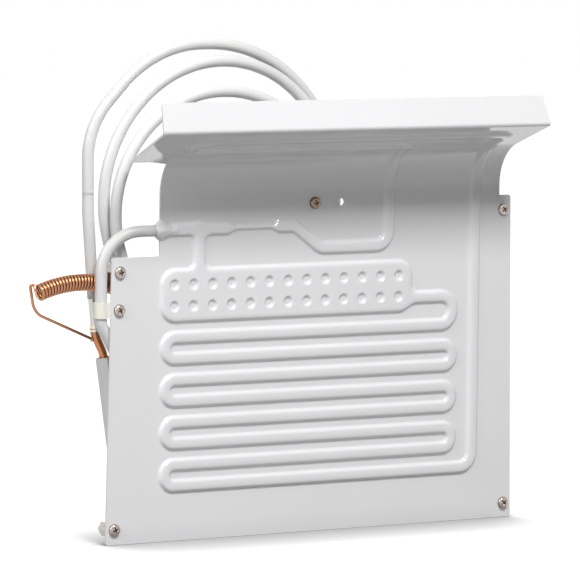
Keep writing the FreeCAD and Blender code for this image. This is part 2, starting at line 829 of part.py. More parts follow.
# The sleeves stay solid, apart from the sockets for the tube's visible stubs
collar_radius = size("collar_diameter") / 2
sleeve_start = on_plate(NOTCH - collar_radius, PORT_HEIGHT, SKIN)
sleeve_corner = on_plate(NOTCH - 1.6 * collar_radius, PORT_HEIGHT, SKIN)
drop_corner = on_plate(RUN_X, PORT_HEIGHT, RUN_DEPTH)
run_foot = Vector(RUN_X, drop_corner.y, CLIP_Z - 0.85 * size("clip_width"))
clip_middle = Vector(RUN_X, drop_corner.y, CLIP_Z)
drop_bend = sleeve_corner.x - RUN_X - size("drop_clearance")
port_line = [(sleeve_start, 0), (sleeve_corner, size("first_bend"))]
port_line += [(drop_corner, drop_bend), (clip_middle, 0)]
port_sleeve = flat_sided_bar(path_points(port_line, TUBE_SAG), SLEEVE_RADIUS, TUBE_SIDES)
first_line = [(clip_middle, 0), (run_foot, size("clip_bend"))]
first_line += coil_corners()
first_line += [(SHOULDER_CORNER, size("shoulder_bend")), (SEAM, 0)]
first_sleeve = flat_sided_bar(path_points(first_line, TUBE_SAG), SLEEVE_RADIUS, TUBE_SIDES)
piece("sleeve_first_length", first_sleeve)
stub_end = between(sleeve_start, sleeve_corner, 0.5)
socket_end = between(sleeve_start, sleeve_corner, 0.52)
sleeve_bore = bar_between(between(sleeve_corner, sleeve_start, 1.2), socket_end, TUBE_BORE)
piece("sleeve_port_length", port_sleeve.cut(sleeve_bore))
stub_start = on_plate(NOTCH + 0.95 * size("port_depth"), PORT_HEIGHT, SKIN)
stub = bar_between(stub_start, stub_end, TUBE_RADIUS)
before_stub = between(stub_end, stub_start, -1)
behind_stub = between(stub_end, stub_start, 2)
piece("port_tube", stub.cut(bar_between(before_stub, behind_stub, 0.7 * TUBE_RADIUS)))

second_end = last_run(CLIP_Z + size("second_sleeve_rise"))
second_line = [(SEAM, 0), (LAST_CORNER, size("shoulder_bend")), (second_end, 0)]
second_sleeve = flat_sided_bar(path_points(second_line, TUBE_SAG), SLEEVE_RADIUS, TUBE_SIDES)
tail_way = (LAST_END - LAST_CORNER).normalize()
bare_start = second_end - tail_way * 2.5 * TUBE_RADIUS
second_bore = bar_between(bare_start - tail_way * 0.1, second_end + tail_way, TUBE_BORE)
piece("sleeve_second_length", second_sleeve.cut(second_bore))

joint_foot = LAST_END - tail_way * (size("joint_length") / 2)
joint_top = LAST_END + tail_way * (size("joint_length") / 2)
piece("bare_tube_end", bar_between(bare_start, LAST_END - tail_way * 0.05, TUBE_RADIUS))
joint = bar_between(joint_foot, joint_top, size("joint_diameter") / 2)
piece("transition_joint", joint.cut(bar_between(joint_foot - tail_way, joint_top + tail_way, TUBE_BORE)))
tail_knee = joint_top + tail_way * TUBE_RADIUS
tail_corner = LAST_END + Vector(size("tail_corner_shift"), 0, -size("tail_corner_drop"))
tail_end = tail_corner + Vector(size("tail_shift"), 0, -size("tail_drop"))
tail_line = [(LAST_END + tail_way * 0.05, 0), (tail_knee, 2.5 * TUBE_RADIUS)]
tail_round_start = tail_end - (tail_end - tail_corner).normalize() * size("tail_round_end")
tail_line += [(tail_corner, 5 * TUBE_RADIUS), (tail_round_start, 0)]
tail = flat_sided_bar(path_points(tail_line, TUBE_SAG / 2), TUBE_RADIUS, TUBE_SIDES)
piece("copper_tail", tail.fuse(bar_between(tail_round_start, tail_end, TUBE_RADIUS)))

# Folded card round the copper tail
card_way = (tail_end - tail_corner).normalize()
card_side = Vector(-card_way.z, 0, card_way.x)


def card_ring(shrink):
    """Lozenge with its sharp folds to the left and right."""
    half = size("card_width") / 2
    deep = size("card_thickness") / 2
    slant = math.hypot(half, deep)
    across = card_side * (half - shrink * slant / deep)
    back = Vector(0, deep - shrink * slant / half, 0)
    middle = tail_corner + card_way * size("card_drop")
    corners = [middle - across, middle + back, middle + across, middle - back]
    return Part.Face(Part.makePolygon(corners + corners[:1])).extrude(card_way * size("card_length"))


piece("card_sleeve", card_ring(0).cut(card_ring(size("card_wall"))))

# Capillary tube
capillary_radius = size("capillary_diameter") / 2
helix_y = FRONT + size("helix_depth")
helix_middle = Vector(RUN_X - size("helix_shift"), helix_y, CLIP_Z + size("helix_rise"))


def helix_axis(share):
    """Point on the bowed axis of the helix and the direction there, from the left end to the right."""
    reach = size("helix_length") / 2
    bow_radius = (reach ** 2 + size("helix_bow") ** 2) / (2 * size("helix_bow"))
    half_turn = math.asin(reach / bow_radius)
    turn = between(-half_turn, half_turn, share)
    point = helix_middle + Vector(bow_radius * math.sin(turn), 0, bow_radius * (math.cos(turn) - 1))
    return point, Vector(math.cos(turn), 0, -math.sin(turn))


def helix_points(steps_per_turn):
    """The close turns start and end at the front of the helix, heading down."""
    turns = size("helix_turns")
    points = []
    count = round(turns * steps_per_turn)
    for i in range(count + 1):
        middle, along = helix_axis(i / count)
        turn = 2 * math.pi * turns * i / count
        up = Vector(0, 1, 0).cross(along) * -1
        outward = up * math.sin(turn) - Vector(0, 1, 0) * math.cos(turn)
        points.append(middle + outward * size("helix_radius"))
    return points


def capillary_path():
    """From the copper tail, through the helix, to the free end behind the plate."""
    coil_points = helix_points(8)
    turn = size("helix_radius")
    start = coil_points[0]
    end = coil_points[-1]
    tail_side = (tail_corner - tail_knee).cross(Vector(0, -1, 0)).normalize()
    joint = between(tail_knee, tail_corner, 0.25) + tail_side * (TUBE_RADIUS + 0.03)
    reach = joint - start
    lead = [
        (joint, 0),
        (joint + tail_side * turn, 0.8 * turn),
        (start + Vector(0.42 * reach.x, 0.6 * reach.y, 0.47 * reach.z), 12 * turn),
        (start + Vector(0.04 * reach.x, 0.12 * reach.y, 0.36 * reach.z), 1.8 * turn),
        (start - Vector(0.43 * turn, 0, 0.8 * turn), 0.6 * turn),
        (start, 0),
    ]
    free = [(end, 0), (end - Vector(0, 0, 1.2 * turn), 1.6 * turn)]
    free.append((end + Vector(1.8 * turn, 0.6 * turn, -4.8 * turn), 2.4 * turn))
    free.append((end + Vector(1.8 * turn, 0.6 * turn, -17.3 * turn), 0))
    sag = 0.1 * capillary_radius
    return path_points(lead, sag)[:-1] + coil_points + path_points(free, sag)[1:]


piece("capillary", flat_sided_bar(capillary_path(), capillary_radius, 5))
channel_capillary = doc.addObject("Part::Cylinder", "capillary_in_channel")
channel_capillary.Placement = Placement(Vector(), Rotation(Vector(0, 0, 1), Vector(1, 0, 0)))
bind(channel_capillary, {
    "Radius": "Sizes.capillary_diameter / 2",
    "Height": "Sizes.neck_end + 2 * Sizes.tube_diameter",
    "Placement.Base.x": "Sizes.notch_width - Sizes.head_width / 2 - Sizes.tube_diameter",
    "Placement.Base.y": FRONT_EXPRESSION + " + Sizes.skin_thickness - Sizes.capillary_diameter / 2 - 0.02",
    "Placement.Base.z": PORT_EXPRESSION + " - Sizes.screw_rise",
})

# Pipe clip
clip_x = RUN_X_EXPRESSION
clip_y = FRONT_EXPRESSION + " + Sizes.run_depth"
clip_z = CLIP_PLACE[1]
clip_bore = "Sizes.tube_diameter / 2 + Sizes.sleeve_wall + Sizes.socket_clearance"


def clip_cylinder(name, radius, margin):
    item = doc.addObject("Part::Cylinder", name)
    bind(item, {"Radius": radius, "Height": "Sizes.clip_width + 2 * %s" % margin})
    return bind_place(item, clip_x, clip_y, "%s - Sizes.clip_width / 2 - %s" % (clip_z, margin))


clip_leg = doc.addObject("Part::Box", "clip_leg_block")
bind(clip_leg, {
    "Length": "%s + Sizes.clip_width / 2 - (%s)" % (CLIP_PLACE[0], clip_x),
    "Width": "Sizes.clip_leg",
    "Height": "Sizes.clip_width",
})
bind_place(clip_leg, clip_x, "-Sizes.standoff_length", clip_z + " - Sizes.clip_width / 2")
clip_body = doc.addObject("Part::Fuse", "clip_blank")
clip_body.Base = clip_cylinder("clip_ring", clip_bore + " + Sizes.clip_wall", "0")
clip_body.Tool = clip_leg
clip_screw_hole = doc.addObject("Part::Cylinder", "clip_screw_hole")
clip_screw_hole.Placement = Placement(Vector(), Rotation(Vector(0, 0, 1), Vector(0, 1, 0)))
bind(clip_screw_hole, {
    "Radius": "Sizes.screw_diameter / 2 + Sizes.screw_clearance",
    "Height": "4 * Sizes.clip_leg",
})
bind_place(clip_screw_hole, CLIP_PLACE[0], "-Sizes.standoff_length - Sizes.clip_leg", CLIP_PLACE[1])
clip_holes = doc.addObject("Part::Fuse", "clip_holes")
clip_holes.Base = clip_cylinder("clip_tube_bore", clip_bore, "1")
clip_holes.Tool = clip_screw_hole
pipe_clip = doc.addObject("Part::Cut", "pipe_clip")
pipe_clip.Base = clip_body
pipe_clip.Tool = clip_holes

# Brazed collar, moulded round the tube and the edge of the notch
COLLAR_SHAPE = [(-1, 0.57), (-0.56, 0.8), (-0.22, 1), (0.75, 0.5)]
rings = []
for along, wide in COLLAR_SHAPE:
    middle = on_plate(NOTCH + along * collar_radius, PORT_HEIGHT, SKIN)
    rings.append(round_ring(middle, Vector(1, 0, 0), wide * collar_radius, 12))
collar = flat_sided_solid(rings).cut(bar_between(before_stub, behind_stub, TUBE_RADIUS))
doc.recompute()
for skin in (front_skin, rear_skin):
    collar = collar.cut(skin.Shape)
piece("port_collar", collar)

# Check and export
PIECES = [
    "front_skin", "rear_skin", "port_collar", "port_tube", "capillary_in_channel",
    "sleeve_port_length", "sleeve_first_length", "sleeve_second_length", "bare_tube_end",
    "transition_joint", "copper_tail", "capillary", "card_sleeve", "pipe_clip", "clip_screw", "clip_nut",
    "centre_screw", "centre_nut",
]
PIECES += ["screw_" + corner for corner in WALL_PLACES] + ["standoff_" + corner for corner in WALL_PLACES]
doc.recompute()
for item in doc.Objects:
    if {"Invalid", "Error"} & set(item.State):
        raise RuntimeError("%s: %s" % (item.Name, item.State))
os.makedirs("parts", exist_ok=True)
for name in PIECES:
    item = doc.getObject(name)
    item.Label = name
    shape = item.Shape
    if shape.isNull() or not shape.isValid() or len(shape.Solids) != 1:
        raise RuntimeError("%s isn't one valid solid" % name)
    shape.exportStep("parts/%s.step" % name)
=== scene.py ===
"""Studio scene of a roll-bond evaporator plate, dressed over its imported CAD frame."""

import math

import bmesh
import bpy
import numpy as np
from mathutils import Matrix, Vector


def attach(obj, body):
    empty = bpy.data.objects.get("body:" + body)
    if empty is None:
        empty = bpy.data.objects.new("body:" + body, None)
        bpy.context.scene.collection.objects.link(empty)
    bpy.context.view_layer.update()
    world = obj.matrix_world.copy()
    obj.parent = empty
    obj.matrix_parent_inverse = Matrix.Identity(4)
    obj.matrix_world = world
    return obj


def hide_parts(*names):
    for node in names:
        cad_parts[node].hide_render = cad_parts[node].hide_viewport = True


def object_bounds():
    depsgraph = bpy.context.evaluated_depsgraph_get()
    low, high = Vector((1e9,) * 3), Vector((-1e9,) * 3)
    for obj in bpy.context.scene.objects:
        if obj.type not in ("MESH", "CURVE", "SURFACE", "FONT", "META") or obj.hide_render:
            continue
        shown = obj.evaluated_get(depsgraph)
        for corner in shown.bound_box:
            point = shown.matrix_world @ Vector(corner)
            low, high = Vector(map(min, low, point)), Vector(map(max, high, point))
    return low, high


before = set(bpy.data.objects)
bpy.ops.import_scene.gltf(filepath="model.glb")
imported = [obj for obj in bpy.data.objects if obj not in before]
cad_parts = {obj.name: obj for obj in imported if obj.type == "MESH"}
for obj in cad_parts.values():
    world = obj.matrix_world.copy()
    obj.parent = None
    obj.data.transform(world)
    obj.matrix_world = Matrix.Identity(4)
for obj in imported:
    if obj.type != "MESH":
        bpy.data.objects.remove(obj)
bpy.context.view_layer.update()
MM = 0.001

# Sizes of the folded plate in millimetres, as the part has them
SKIN = 0.75
SHEET = 2 * SKIN
FOOT = -11.0
FRONT = -13.5
FOOT_WIDTH = 356.0
HEAD_WIDTH = 348.0
LEFT_FLANGE = 209.5
RIGHT_FLANGE = 245.7
NOTCH = -134.7
NOTCH_TOP = 277.0
BEND_START = 252.6
BEND_RADIUS = 35.6
BEND_ANGLE = math.radians(70.2)
SHELF_LENGTH = 47.7
FOLD_RADIUS = SHEET + 1.2
LIP_HEIGHT = 21.9
BEND_RIGHT = 163.8
SHELF_LEFT = -172.7
SHELF_RIGHT = 162.5
LIP_TAPER = 2.5
CORNER = 2.0

# The wing beside the notch: its left edge at the shelf and at its rear, how much farther it reaches than the
# bend's arc does, how wide the twist between it and the bend is, and the flat height from which there is a wing
WING = -164.4
WING_REAR = -159.9
WING_STRETCH = 1.46
WING_TWIST = 9.0
WING_FROM = LEFT_FLANGE + 30

BEND_END = BEND_START + BEND_RADIUS * BEND_ANGLE
FOLD_START = BEND_END + SHELF_LENGTH - FOLD_RADIUS
FOLD_END = FOLD_START + FOLD_RADIUS * math.pi / 2
SHEET_TOP = FOLD_END + LIP_HEIGHT - FOLD_RADIUS + SHEET

# Sizes of the channels
HALF_CHANNEL = 5.25
RISE = 2.5
PITCH = 15.56
LOWEST_RUN = 40.4
LOOPS = 4
RUN_SPAN = 261.8
LEFT_TURN = NOTCH + HALF_CHANNEL
RIGHT_TURN = NOTCH + RUN_SPAN - HALF_CHANNEL
RISER_GAP = 8.9
RISER = RIGHT_TURN + 2 * HALF_CHANNEL + RISER_GAP
RISER_BEND = 11.5
PAD_GAP = 5.1
PAD_FOOT = LOWEST_RUN + (2 * LOOPS - 1) * PITCH + HALF_CHANNEL + PAD_GAP
PAD_LENGTH = 220.2
PAD_HEIGHT = 40.6
PAD_CORNER = 13.0
PAD_OUTLET = PAD_FOOT + 11.2
INTO_PAD = 12
SHELF_OUTER_RUN = BEND_END + 26
SHELF_INNER_RUN = BEND_END + 1
RETURN_RISER = NOTCH + 198.4
RETURN_RUN = 211.0
RETURN_SLOPE = (NOTCH + 115.2, NOTCH + 138.2)
RETURN_END = NOTCH + 102.4
PORT_RUN = 228.0
BRANCH = NOTCH + 33.5

# The crimped neck of the first channel, and the socket of the tube before it
NECK_START = NOTCH + 65.2
NECK_END = NOTCH + 94.2
NECK_BLEND = 8.2
NECK_HALF = 2.3
NECK_SINK = 0.22
NECK_REACH = 8
FIRST_CHANNEL = (NOTCH + 8, NECK_END + 12)
SOCKET_RADIUS = 3.975
SOCKET_END = NOTCH + 14

# Dimples of the accumulator: flat places, pitches, and the share of the rise that their floor keeps
DIMPLE_ROWS, DIMPLE_COLUMNS = 2, 13
FIRST_DIMPLE = (NOTCH + 11.6, PAD_FOOT + 12.6)
DIMPLE_PITCH = (16.27, 15.8)
DIMPLE_FLOOR_RADIUS = 2.0
DIMPLE_RADIUS = 4.5
DIMPLE_FLOOR = 0.3

# Spare hole beside the centre screw
SPARE_HOLE = (21.3, 244.5)
SPARE_HOLE_RADIUS = 2.7


def smooth(value, low, high):
    """0 below low, 1 above high and a soft step between them."""
    share = np.clip((value - low) / (high - low), 0, 1)
    return share * share * (3 - 2 * share)


# The folded sheet, from its flat length s. The wing beside the notch stays in the shelf's plane
def place(x, s, depth):
    """Points in millimetres for flat places x and s, at a depth behind the front face."""
    turn = np.clip((s - BEND_START) / BEND_RADIUS, 0, BEND_ANGLE)
    radius = BEND_RADIUS + depth
    y = FRONT - BEND_RADIUS + radius * np.cos(turn)
    z = FOOT + np.minimum(s, BEND_START) + radius * np.sin(turn)
    shelf = np.clip(s - BEND_END, 0, FOLD_START - BEND_END)
    y = y - math.sin(BEND_ANGLE) * shelf
    z = z + math.cos(BEND_ANGLE) * shelf
    fold = np.clip((s - FOLD_START) / FOLD_RADIUS, 0, math.pi / 2)
    along = (FOLD_RADIUS - depth) * np.sin(fold)
    up = FOLD_RADIUS - depth - (FOLD_RADIUS - depth) * np.cos(fold)
    up = up + np.maximum(s - FOLD_END, 0)
    y = y - math.sin(BEND_ANGLE) * along + math.cos(BEND_ANGLE) * up
    z = z + math.cos(BEND_ANGLE) * along + math.sin(BEND_ANGLE) * up
    x, y, z = np.broadcast_arrays(x, y, z)
    flat = smooth(NOTCH - x, 0, WING_TWIST) * (s < BEND_END) * (s > WING_FROM)
    back = WING_STRETCH * (BEND_END - s)
    flat_y = FRONT - BEND_RADIUS + radius * math.cos(BEND_ANGLE) + math.sin(BEND_ANGLE) * back
    flat_z = FOOT + BEND_START + radius * math.sin(BEND_ANGLE) - math.cos(BEND_ANGLE) * back
    return np.stack([x, y + (flat_y - y) * flat, z + (flat_z - z) * flat], axis=-1)


def flat_height(z):
    """Flat position of the front face's line at this height."""
    s = np.linspace(0, SHEET_TOP, 4000)
    heights = place(np.zeros_like(s), s, 0)[:, 2]
    return float(np.interp(z, heights, s))


def half_width(s):
    """Half the plate's width, which grows towards its foot."""
    return (FOOT_WIDTH - (FOOT_WIDTH - HEAD_WIDTH) * s / RIGHT_FLANGE) / 2


NOTCH_S = flat_height(FOOT + NOTCH_TOP)
CORNER_S = (FOLD_START + FOLD_END) / 2
HEIGHTS = [place(0.0, np.float64(s), 0.0)[2] for s in (BEND_START, BEND_END, CORNER_S, SHEET_TOP)]


def sheet_height(s):
    """Height of the front face at flat places s."""
    return place(np.zeros_like(s), s, 0)[:, 2]


def rounded_by(s, end, inward):
    """How far a rounded corner of the edge draws in near an end line."""
    near = np.clip(CORNER - np.abs(s - end), 0, CORNER)
    return inward * (CORNER - np.sqrt(CORNER**2 - near**2))


def flange_left(s):
    return -half_width(s) + rounded_by(s, 0, 1) + rounded_by(s, LEFT_FLANGE, 1)


def flange_right(s):
    return half_width(s) + rounded_by(s, 0, -1) + rounded_by(s, RIGHT_FLANGE, -1)


def notch_left(s):
    return np.full_like(s, NOTCH)


def shelf_left(s):
    places = [WING, WING, SHELF_LEFT, SHELF_LEFT + LIP_TAPER]
    taper = (WING_REAR - WING) * np.clip((BEND_END - s) / (BEND_END - NOTCH_S), 0, 1)
    return np.interp(sheet_height(s), HEIGHTS, places) + rounded_by(s, SHEET_TOP, 1) + taper


def shelf_right(s):
    places = [BEND_RIGHT, np.interp(HEIGHTS[1], [HEIGHTS[0], HEIGHTS[2]], [BEND_RIGHT, SHELF_RIGHT])]
    places += [SHELF_RIGHT, SHELF_RIGHT - LIP_TAPER]
    return np.interp(sheet_height(s), HEIGHTS, places) + rounded_by(s, SHEET_TOP, -1)


# Bands of the flat sheet: from, to, left edge and right edge
BANDS = [
    (0, LEFT_FLANGE, flange_left, flange_right),
    (LEFT_FLANGE, RIGHT_FLANGE, notch_left, flange_right),
    (RIGHT_FLANGE, NOTCH_S, notch_left, shelf_right),
    (NOTCH_S, SHEET_TOP, shelf_left, shelf_right),
]


# Paths of straight runs and arcs
SAME_POINT = 0.02
PATH_STEP = 0.8


def rounded_path(corners, spacing):
    """Points along a path. Each corner is (point, radius), and None takes the radius that fills its runs."""
    points = [np.array(corners[0][0], float)]
    for i in range(1, len(corners) - 1):
        before, here, after = (np.array(corners[j][0], float) for j in (i - 1, i, i + 1))
        back, ahead = before - here, after - here
        room = min(np.linalg.norm(back), np.linalg.norm(ahead)) / 2
        back, ahead = back / np.linalg.norm(back), ahead / np.linalg.norm(ahead)
        half = math.acos(max(-1, min(1, float(back @ ahead)))) / 2
        radius = room * math.tan(half) if corners[i][1] is None else corners[i][1]
        reach = radius / math.tan(half)
        inward = (back + ahead) / np.linalg.norm(back + ahead)
        centre = here + inward * radius / math.sin(half)
        start, end = here + back * reach, here + ahead * reach
        sweep = math.pi - 2 * half
        steps = max(2, round(radius * sweep / spacing))
        first, last = start - centre, end - centre
        for step in range(steps + 1):
            share = step / steps
            mixed = (math.sin((1 - share) * sweep) * first + math.sin(share * sweep) * last) / math.sin(sweep)
            points.append(centre + mixed)
    points.append(np.array(corners[-1][0], float))
    kept = [points[0]]
    for point in points[1:]:
        if np.linalg.norm(point - kept[-1]) > SAME_POINT:
            kept.append(point)
    return np.array(kept)


def serpentine():
    """Flat path from the accumulator down the runs, up the right riser and round the shelf."""
    corners = [((NOTCH + PAD_LENGTH - INTO_PAD, PAD_OUTLET), 0), ((RIGHT_TURN, PAD_OUTLET), None)]
    for loop in range(LOOPS):
        upper = LOWEST_RUN + (2 * LOOPS - 1 - 2 * loop) * PITCH
        lower = upper - PITCH
        corners += [((RIGHT_TURN, upper), None), ((LEFT_TURN, upper), None), ((LEFT_TURN, lower), None)]
        corners.append(((RIGHT_TURN, lower), None))
    corners[-1] = ((RISER, LOWEST_RUN), RISER_BEND)
    corners.append(((RISER, SHELF_OUTER_RUN), RISER_BEND))
    corners += [((LEFT_TURN, SHELF_OUTER_RUN), None), ((LEFT_TURN, SHELF_INNER_RUN), None)]
    corners.append(((RETURN_RISER, SHELF_INNER_RUN), 0))
    return rounded_path(corners, PATH_STEP)


def return_path():
    """Flat path from the shelf down the middle riser to the crimped neck."""
    corners = [
        ((RETURN_RISER, SHELF_INNER_RUN), 0),
        ((RETURN_RISER, RETURN_RUN), RISER_BEND),
        ((RETURN_SLOPE[1], RETURN_RUN), RISER_BEND),
        ((RETURN_SLOPE[0], PORT_RUN), RISER_BEND),
        ((RETURN_END, PORT_RUN), 0),
    ]
    return rounded_path(corners, PATH_STEP)


# Relief of the inflated channels over the flat sheet: the grid's spacing, the fillet between channels, how far
# from a path distances are worked out, and the shares of flank and crest in the section
SPACING = 0.6
FILLET = 6.5
FAR = 99.0
PATH_REACH = HALF_CHANNEL + 8
FLANK_SHARE = 0.62
CREST_SHARE = 0.38


def distance_to(path, x, s):
    """Distance of points, sorted by x, to a path. Points well away from it are left far."""
    distance = np.full(x.shape, FAR)
    for a, b in zip(path[:-1], path[1:]):
        low, high = np.minimum(a, b) - PATH_REACH, np.maximum(a, b) + PATH_REACH
        first, last = np.searchsorted(x, [low[0], high[0]])
        near = first + np.nonzero((s[first:last] > low[1]) & (s[first:last] < high[1]))[0]
        wx, ws = x[near] - a[0], s[near] - a[1]
        dx, ds = b - a
        share = np.clip((wx * dx + ws * ds) / (dx * dx + ds * ds), 0, 1)
        distance[near] = np.minimum(distance[near], np.hypot(wx - share * dx, ws - share * ds))
    return distance


def dome(distance):
    """Height from 0 to 1 across an inflated channel: steep flanks and a slightly rounded crest."""
    flank = smooth(HALF_CHANNEL + 0.3 - distance, 0, 0.5 * HALF_CHANNEL)
    crest = np.clip(1 - (distance / HALF_CHANNEL) ** 2, 0, 1)
    return FLANK_SHARE * flank + CREST_SHARE * crest


def joined(first, second):
    """The nearer of two outlines, with a hollow fillet where they meet."""
    near = np.clip(FILLET - np.abs(first - second), 0, FILLET) / FILLET
    return np.minimum(first, second) - near**2 * FILLET / 4


def pad_outline(x, s):
    """Distance outside the accumulator field, negative inside."""
    centre_x, centre_s = NOTCH + PAD_LENGTH / 2, PAD_FOOT + PAD_HEIGHT / 2
    dx = np.abs(x - centre_x) - (PAD_LENGTH / 2 - PAD_CORNER)
    ds = np.abs(s - centre_s) - (PAD_HEIGHT / 2 - PAD_CORNER)
    return np.hypot(np.maximum(dx, 0), np.maximum(ds, 0)) + np.minimum(np.maximum(dx, ds), 0) - PAD_CORNER


def squeezed(x):
    """0 in the full channel, 1 in the crimped neck."""
    before = smooth(x, NECK_START - NECK_BLEND, NECK_START)
    return before * (1 - smooth(x, NECK_END, NECK_END + NECK_BLEND))


def port_outline(x, s):
    """Distance outside the first channel, which starts after the socket."""
    half = HALF_CHANNEL + (NECK_HALF - HALF_CHANNEL) * squeezed(x)
    inside = np.abs(s - PORT_RUN) - half
    return np.where(x > FIRST_CHANNEL[1], FAR, np.maximum(inside, FIRST_CHANNEL[0] - x))


def dimples(x, s, height):
    """Two rows of round dimples pressed down towards the sheet."""
    for row in range(DIMPLE_ROWS):
        for column in range(DIMPLE_COLUMNS):
            dx = x - (FIRST_DIMPLE[0] + column * DIMPLE_PITCH[0])
            ds = s - (FIRST_DIMPLE[1] + row * DIMPLE_PITCH[1])
            reach = np.hypot(dx, ds)
            wall = smooth(reach, DIMPLE_FLOOR_RADIUS, DIMPLE_RADIUS)
            pressed = np.minimum(height, RISE * (DIMPLE_FLOOR + (1 - DIMPLE_FLOOR) * wall))
            height = np.where(reach < DIMPLE_RADIUS + 0.1, pressed, height)
    return height


STAKES = 6
FIRST_STAKE = NECK_START + 1.6
STAKE_PITCH = 5.3
STAKE_SIDE = 1.9
STAKE_EDGE = (0.3, 1.5)
STAKE_RISE = 0.5
PINCHES = ((3.4, 4.6), (7.6, 5.2))
PINCH_SLANT = 0.45
PINCH_TAPER = 0.28
PINCH_EDGE = (0.2, 1.5)
PINCH_RISE = 0.8


def stake_marks(x, s, height):
    """The raised punch marks along the neck, and the two slanting pinches past its end."""
    side = s - PORT_RUN
    for mark in range(STAKES):
        reach = np.hypot(x - (FIRST_STAKE + STAKE_PITCH * mark), side - STAKE_SIDE)
        height = height + STAKE_RISE * (1 - smooth(reach, *STAKE_EDGE))
    for along, up in PINCHES:
        dx, ds = x - (NECK_END + along), side - up
        reach = np.abs(ds - PINCH_SLANT * dx) + PINCH_TAPER * np.abs(dx)
        height = height + PINCH_RISE * (1 - smooth(reach, *PINCH_EDGE))
    return height


def socket_rise(x, s):
    """Round socket round the tube's end at the notch."""
    rise = np.sqrt(np.clip(SOCKET_RADIUS**2 - (s - PORT_RUN) ** 2, 0, None)) - SKIN
    return np.clip(rise, 0, None) * (x < SOCKET_END)


def relief(x, s):
    """How far the front skin stands out of the sheet's plane."""
    branch = np.array([[BRANCH, PAD_FOOT + PAD_HEIGHT - INTO_PAD], [BRANCH, PORT_RUN]])
    outline = joined(pad_outline(x, s), distance_to(serpentine(), x, s) - HALF_CHANNEL)
    outline = joined(outline, distance_to(branch, x, s) - HALF_CHANNEL)
    outline = joined(outline, port_outline(x, s))
    outline = np.minimum(outline, distance_to(return_path(), x, s) - HALF_CHANNEL)
    height = RISE * dome(np.clip(outline + HALF_CHANNEL, 0, None))
    height = height * (1 - NECK_SINK * squeezed(x) * (np.abs(s - PORT_RUN) < NECK_REACH))
    height = stake_marks(x, s, dimples(x, s, height))
    return np.maximum(np.clip(height, 0, None), socket_rise(x, s))


# Meshes
def finish_piece(name, mesh, finish):
    """Put a mesh in the scene, riding on the part's one body. A finish is (material, slot); the slot is not used.
    """
    material, slot = finish
    mesh.validate()
    item = bpy.data.objects.new(name, mesh)
    bpy.context.scene.collection.objects.link(item)
    mesh.materials.append(material)
    mesh.polygons.foreach_set("use_smooth", [True] * len(mesh.polygons))
    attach(item, "root")
    return item


def mark_sharp(mesh, is_sharp):
    """Keep the edges that the test names hard under smooth shading."""
    sharp = mesh.attributes.new("sharp_edge", "BOOLEAN", "EDGE")
    sharp.data.foreach_set("value", [is_sharp(edge.vertices) for edge in mesh.edges])


def ring_faces(rings, steps):
    """Faces between rings of points, with a cap on the first and the last ring."""
    faces = []
    for ring in range(rings - 1):
        for i in range(steps):
            j = (i + 1) % steps
            faces.append([ring * steps + i, ring * steps + j, (ring + 1) * steps + j, (ring + 1) * steps + i])
    faces.append(list(range(steps))[::-1])
    faces.append([(rings - 1) * steps + i for i in range(steps)])
    return faces


def solid_mesh(name, points, faces):
    mesh = bpy.data.meshes.new(name)
    mesh.from_pydata(points, [], faces)
    return mesh


# Rows over the fold of the lip, how close a row may come to a band's ends, the share of the spacing within which
# points are drawn to the hole's edge, and the width under which a cell has none
FOLD_ROWS = 9
ROW_CLEARANCE = 0.2
HOLE_DRAW = 0.89
NO_WIDTH = 1e-4


def sheet_grid(spacing, hole_radius):
    """Flat grid of the sheet, one band at a time, joined along the bands' common lines."""
    columns = np.arange(-FOOT_WIDTH / 2, FOOT_WIDTH / 2 + spacing, spacing)
    flat, corner_sets = [], []
    offset = 0
    for low, high, left, right in BANDS:
        lines = np.arange(0, SHEET_TOP, spacing)
        lines = lines[(lines > low + ROW_CLEARANCE) & (lines < high - ROW_CLEARANCE)]
        fold_lines = np.linspace(FOLD_START, FOLD_END, FOLD_ROWS)
        fold_lines = fold_lines[(fold_lines > low) & (fold_lines < high)]
        rows = np.unique(np.concatenate([[low], lines, fold_lines, [high]]))
        x = np.clip(columns[None, :], left(rows)[:, None], right(rows)[:, None])
        s = np.repeat(rows[:, None], len(columns), axis=1)
        reach = np.hypot(x - SPARE_HOLE[0], s - SPARE_HOLE[1])
        near = np.abs(reach - hole_radius) < HOLE_DRAW * spacing
        scale = np.where(near, hole_radius / np.maximum(reach, 0.1), 1)
        x, s = SPARE_HOLE[0] + (x - SPARE_HOLE[0]) * scale, SPARE_HOLE[1] + (s - SPARE_HOLE[1]) * scale
        flat.append(np.stack([x, s], axis=-1).reshape(-1, 2))
        index = np.arange(x.size).reshape(x.shape) + offset
        cells = np.stack([index[:-1, :-1], index[:-1, 1:], index[1:, 1:], index[1:, :-1]], axis=-1).reshape(-1, 4)
        wide = (np.diff(x, axis=1)[:-1] > NO_WIDTH) | (np.diff(x, axis=1)[1:] > NO_WIDTH)
        inside = np.hypot(x - SPARE_HOLE[0], s - SPARE_HOLE[1]) < hole_radius + 0.01
        hole = inside[:-1, :-1] & inside[:-1, 1:] & inside[1:, 1:] & inside[1:, :-1]
        corner_sets.append(cells[(wide & ~hole).reshape(-1)])
        offset += x.size
    kept, found = np.unique(np.round(np.concatenate(flat), 4), axis=0, return_inverse=True)
    return kept, found.reshape(-1)[np.concatenate(corner_sets)]


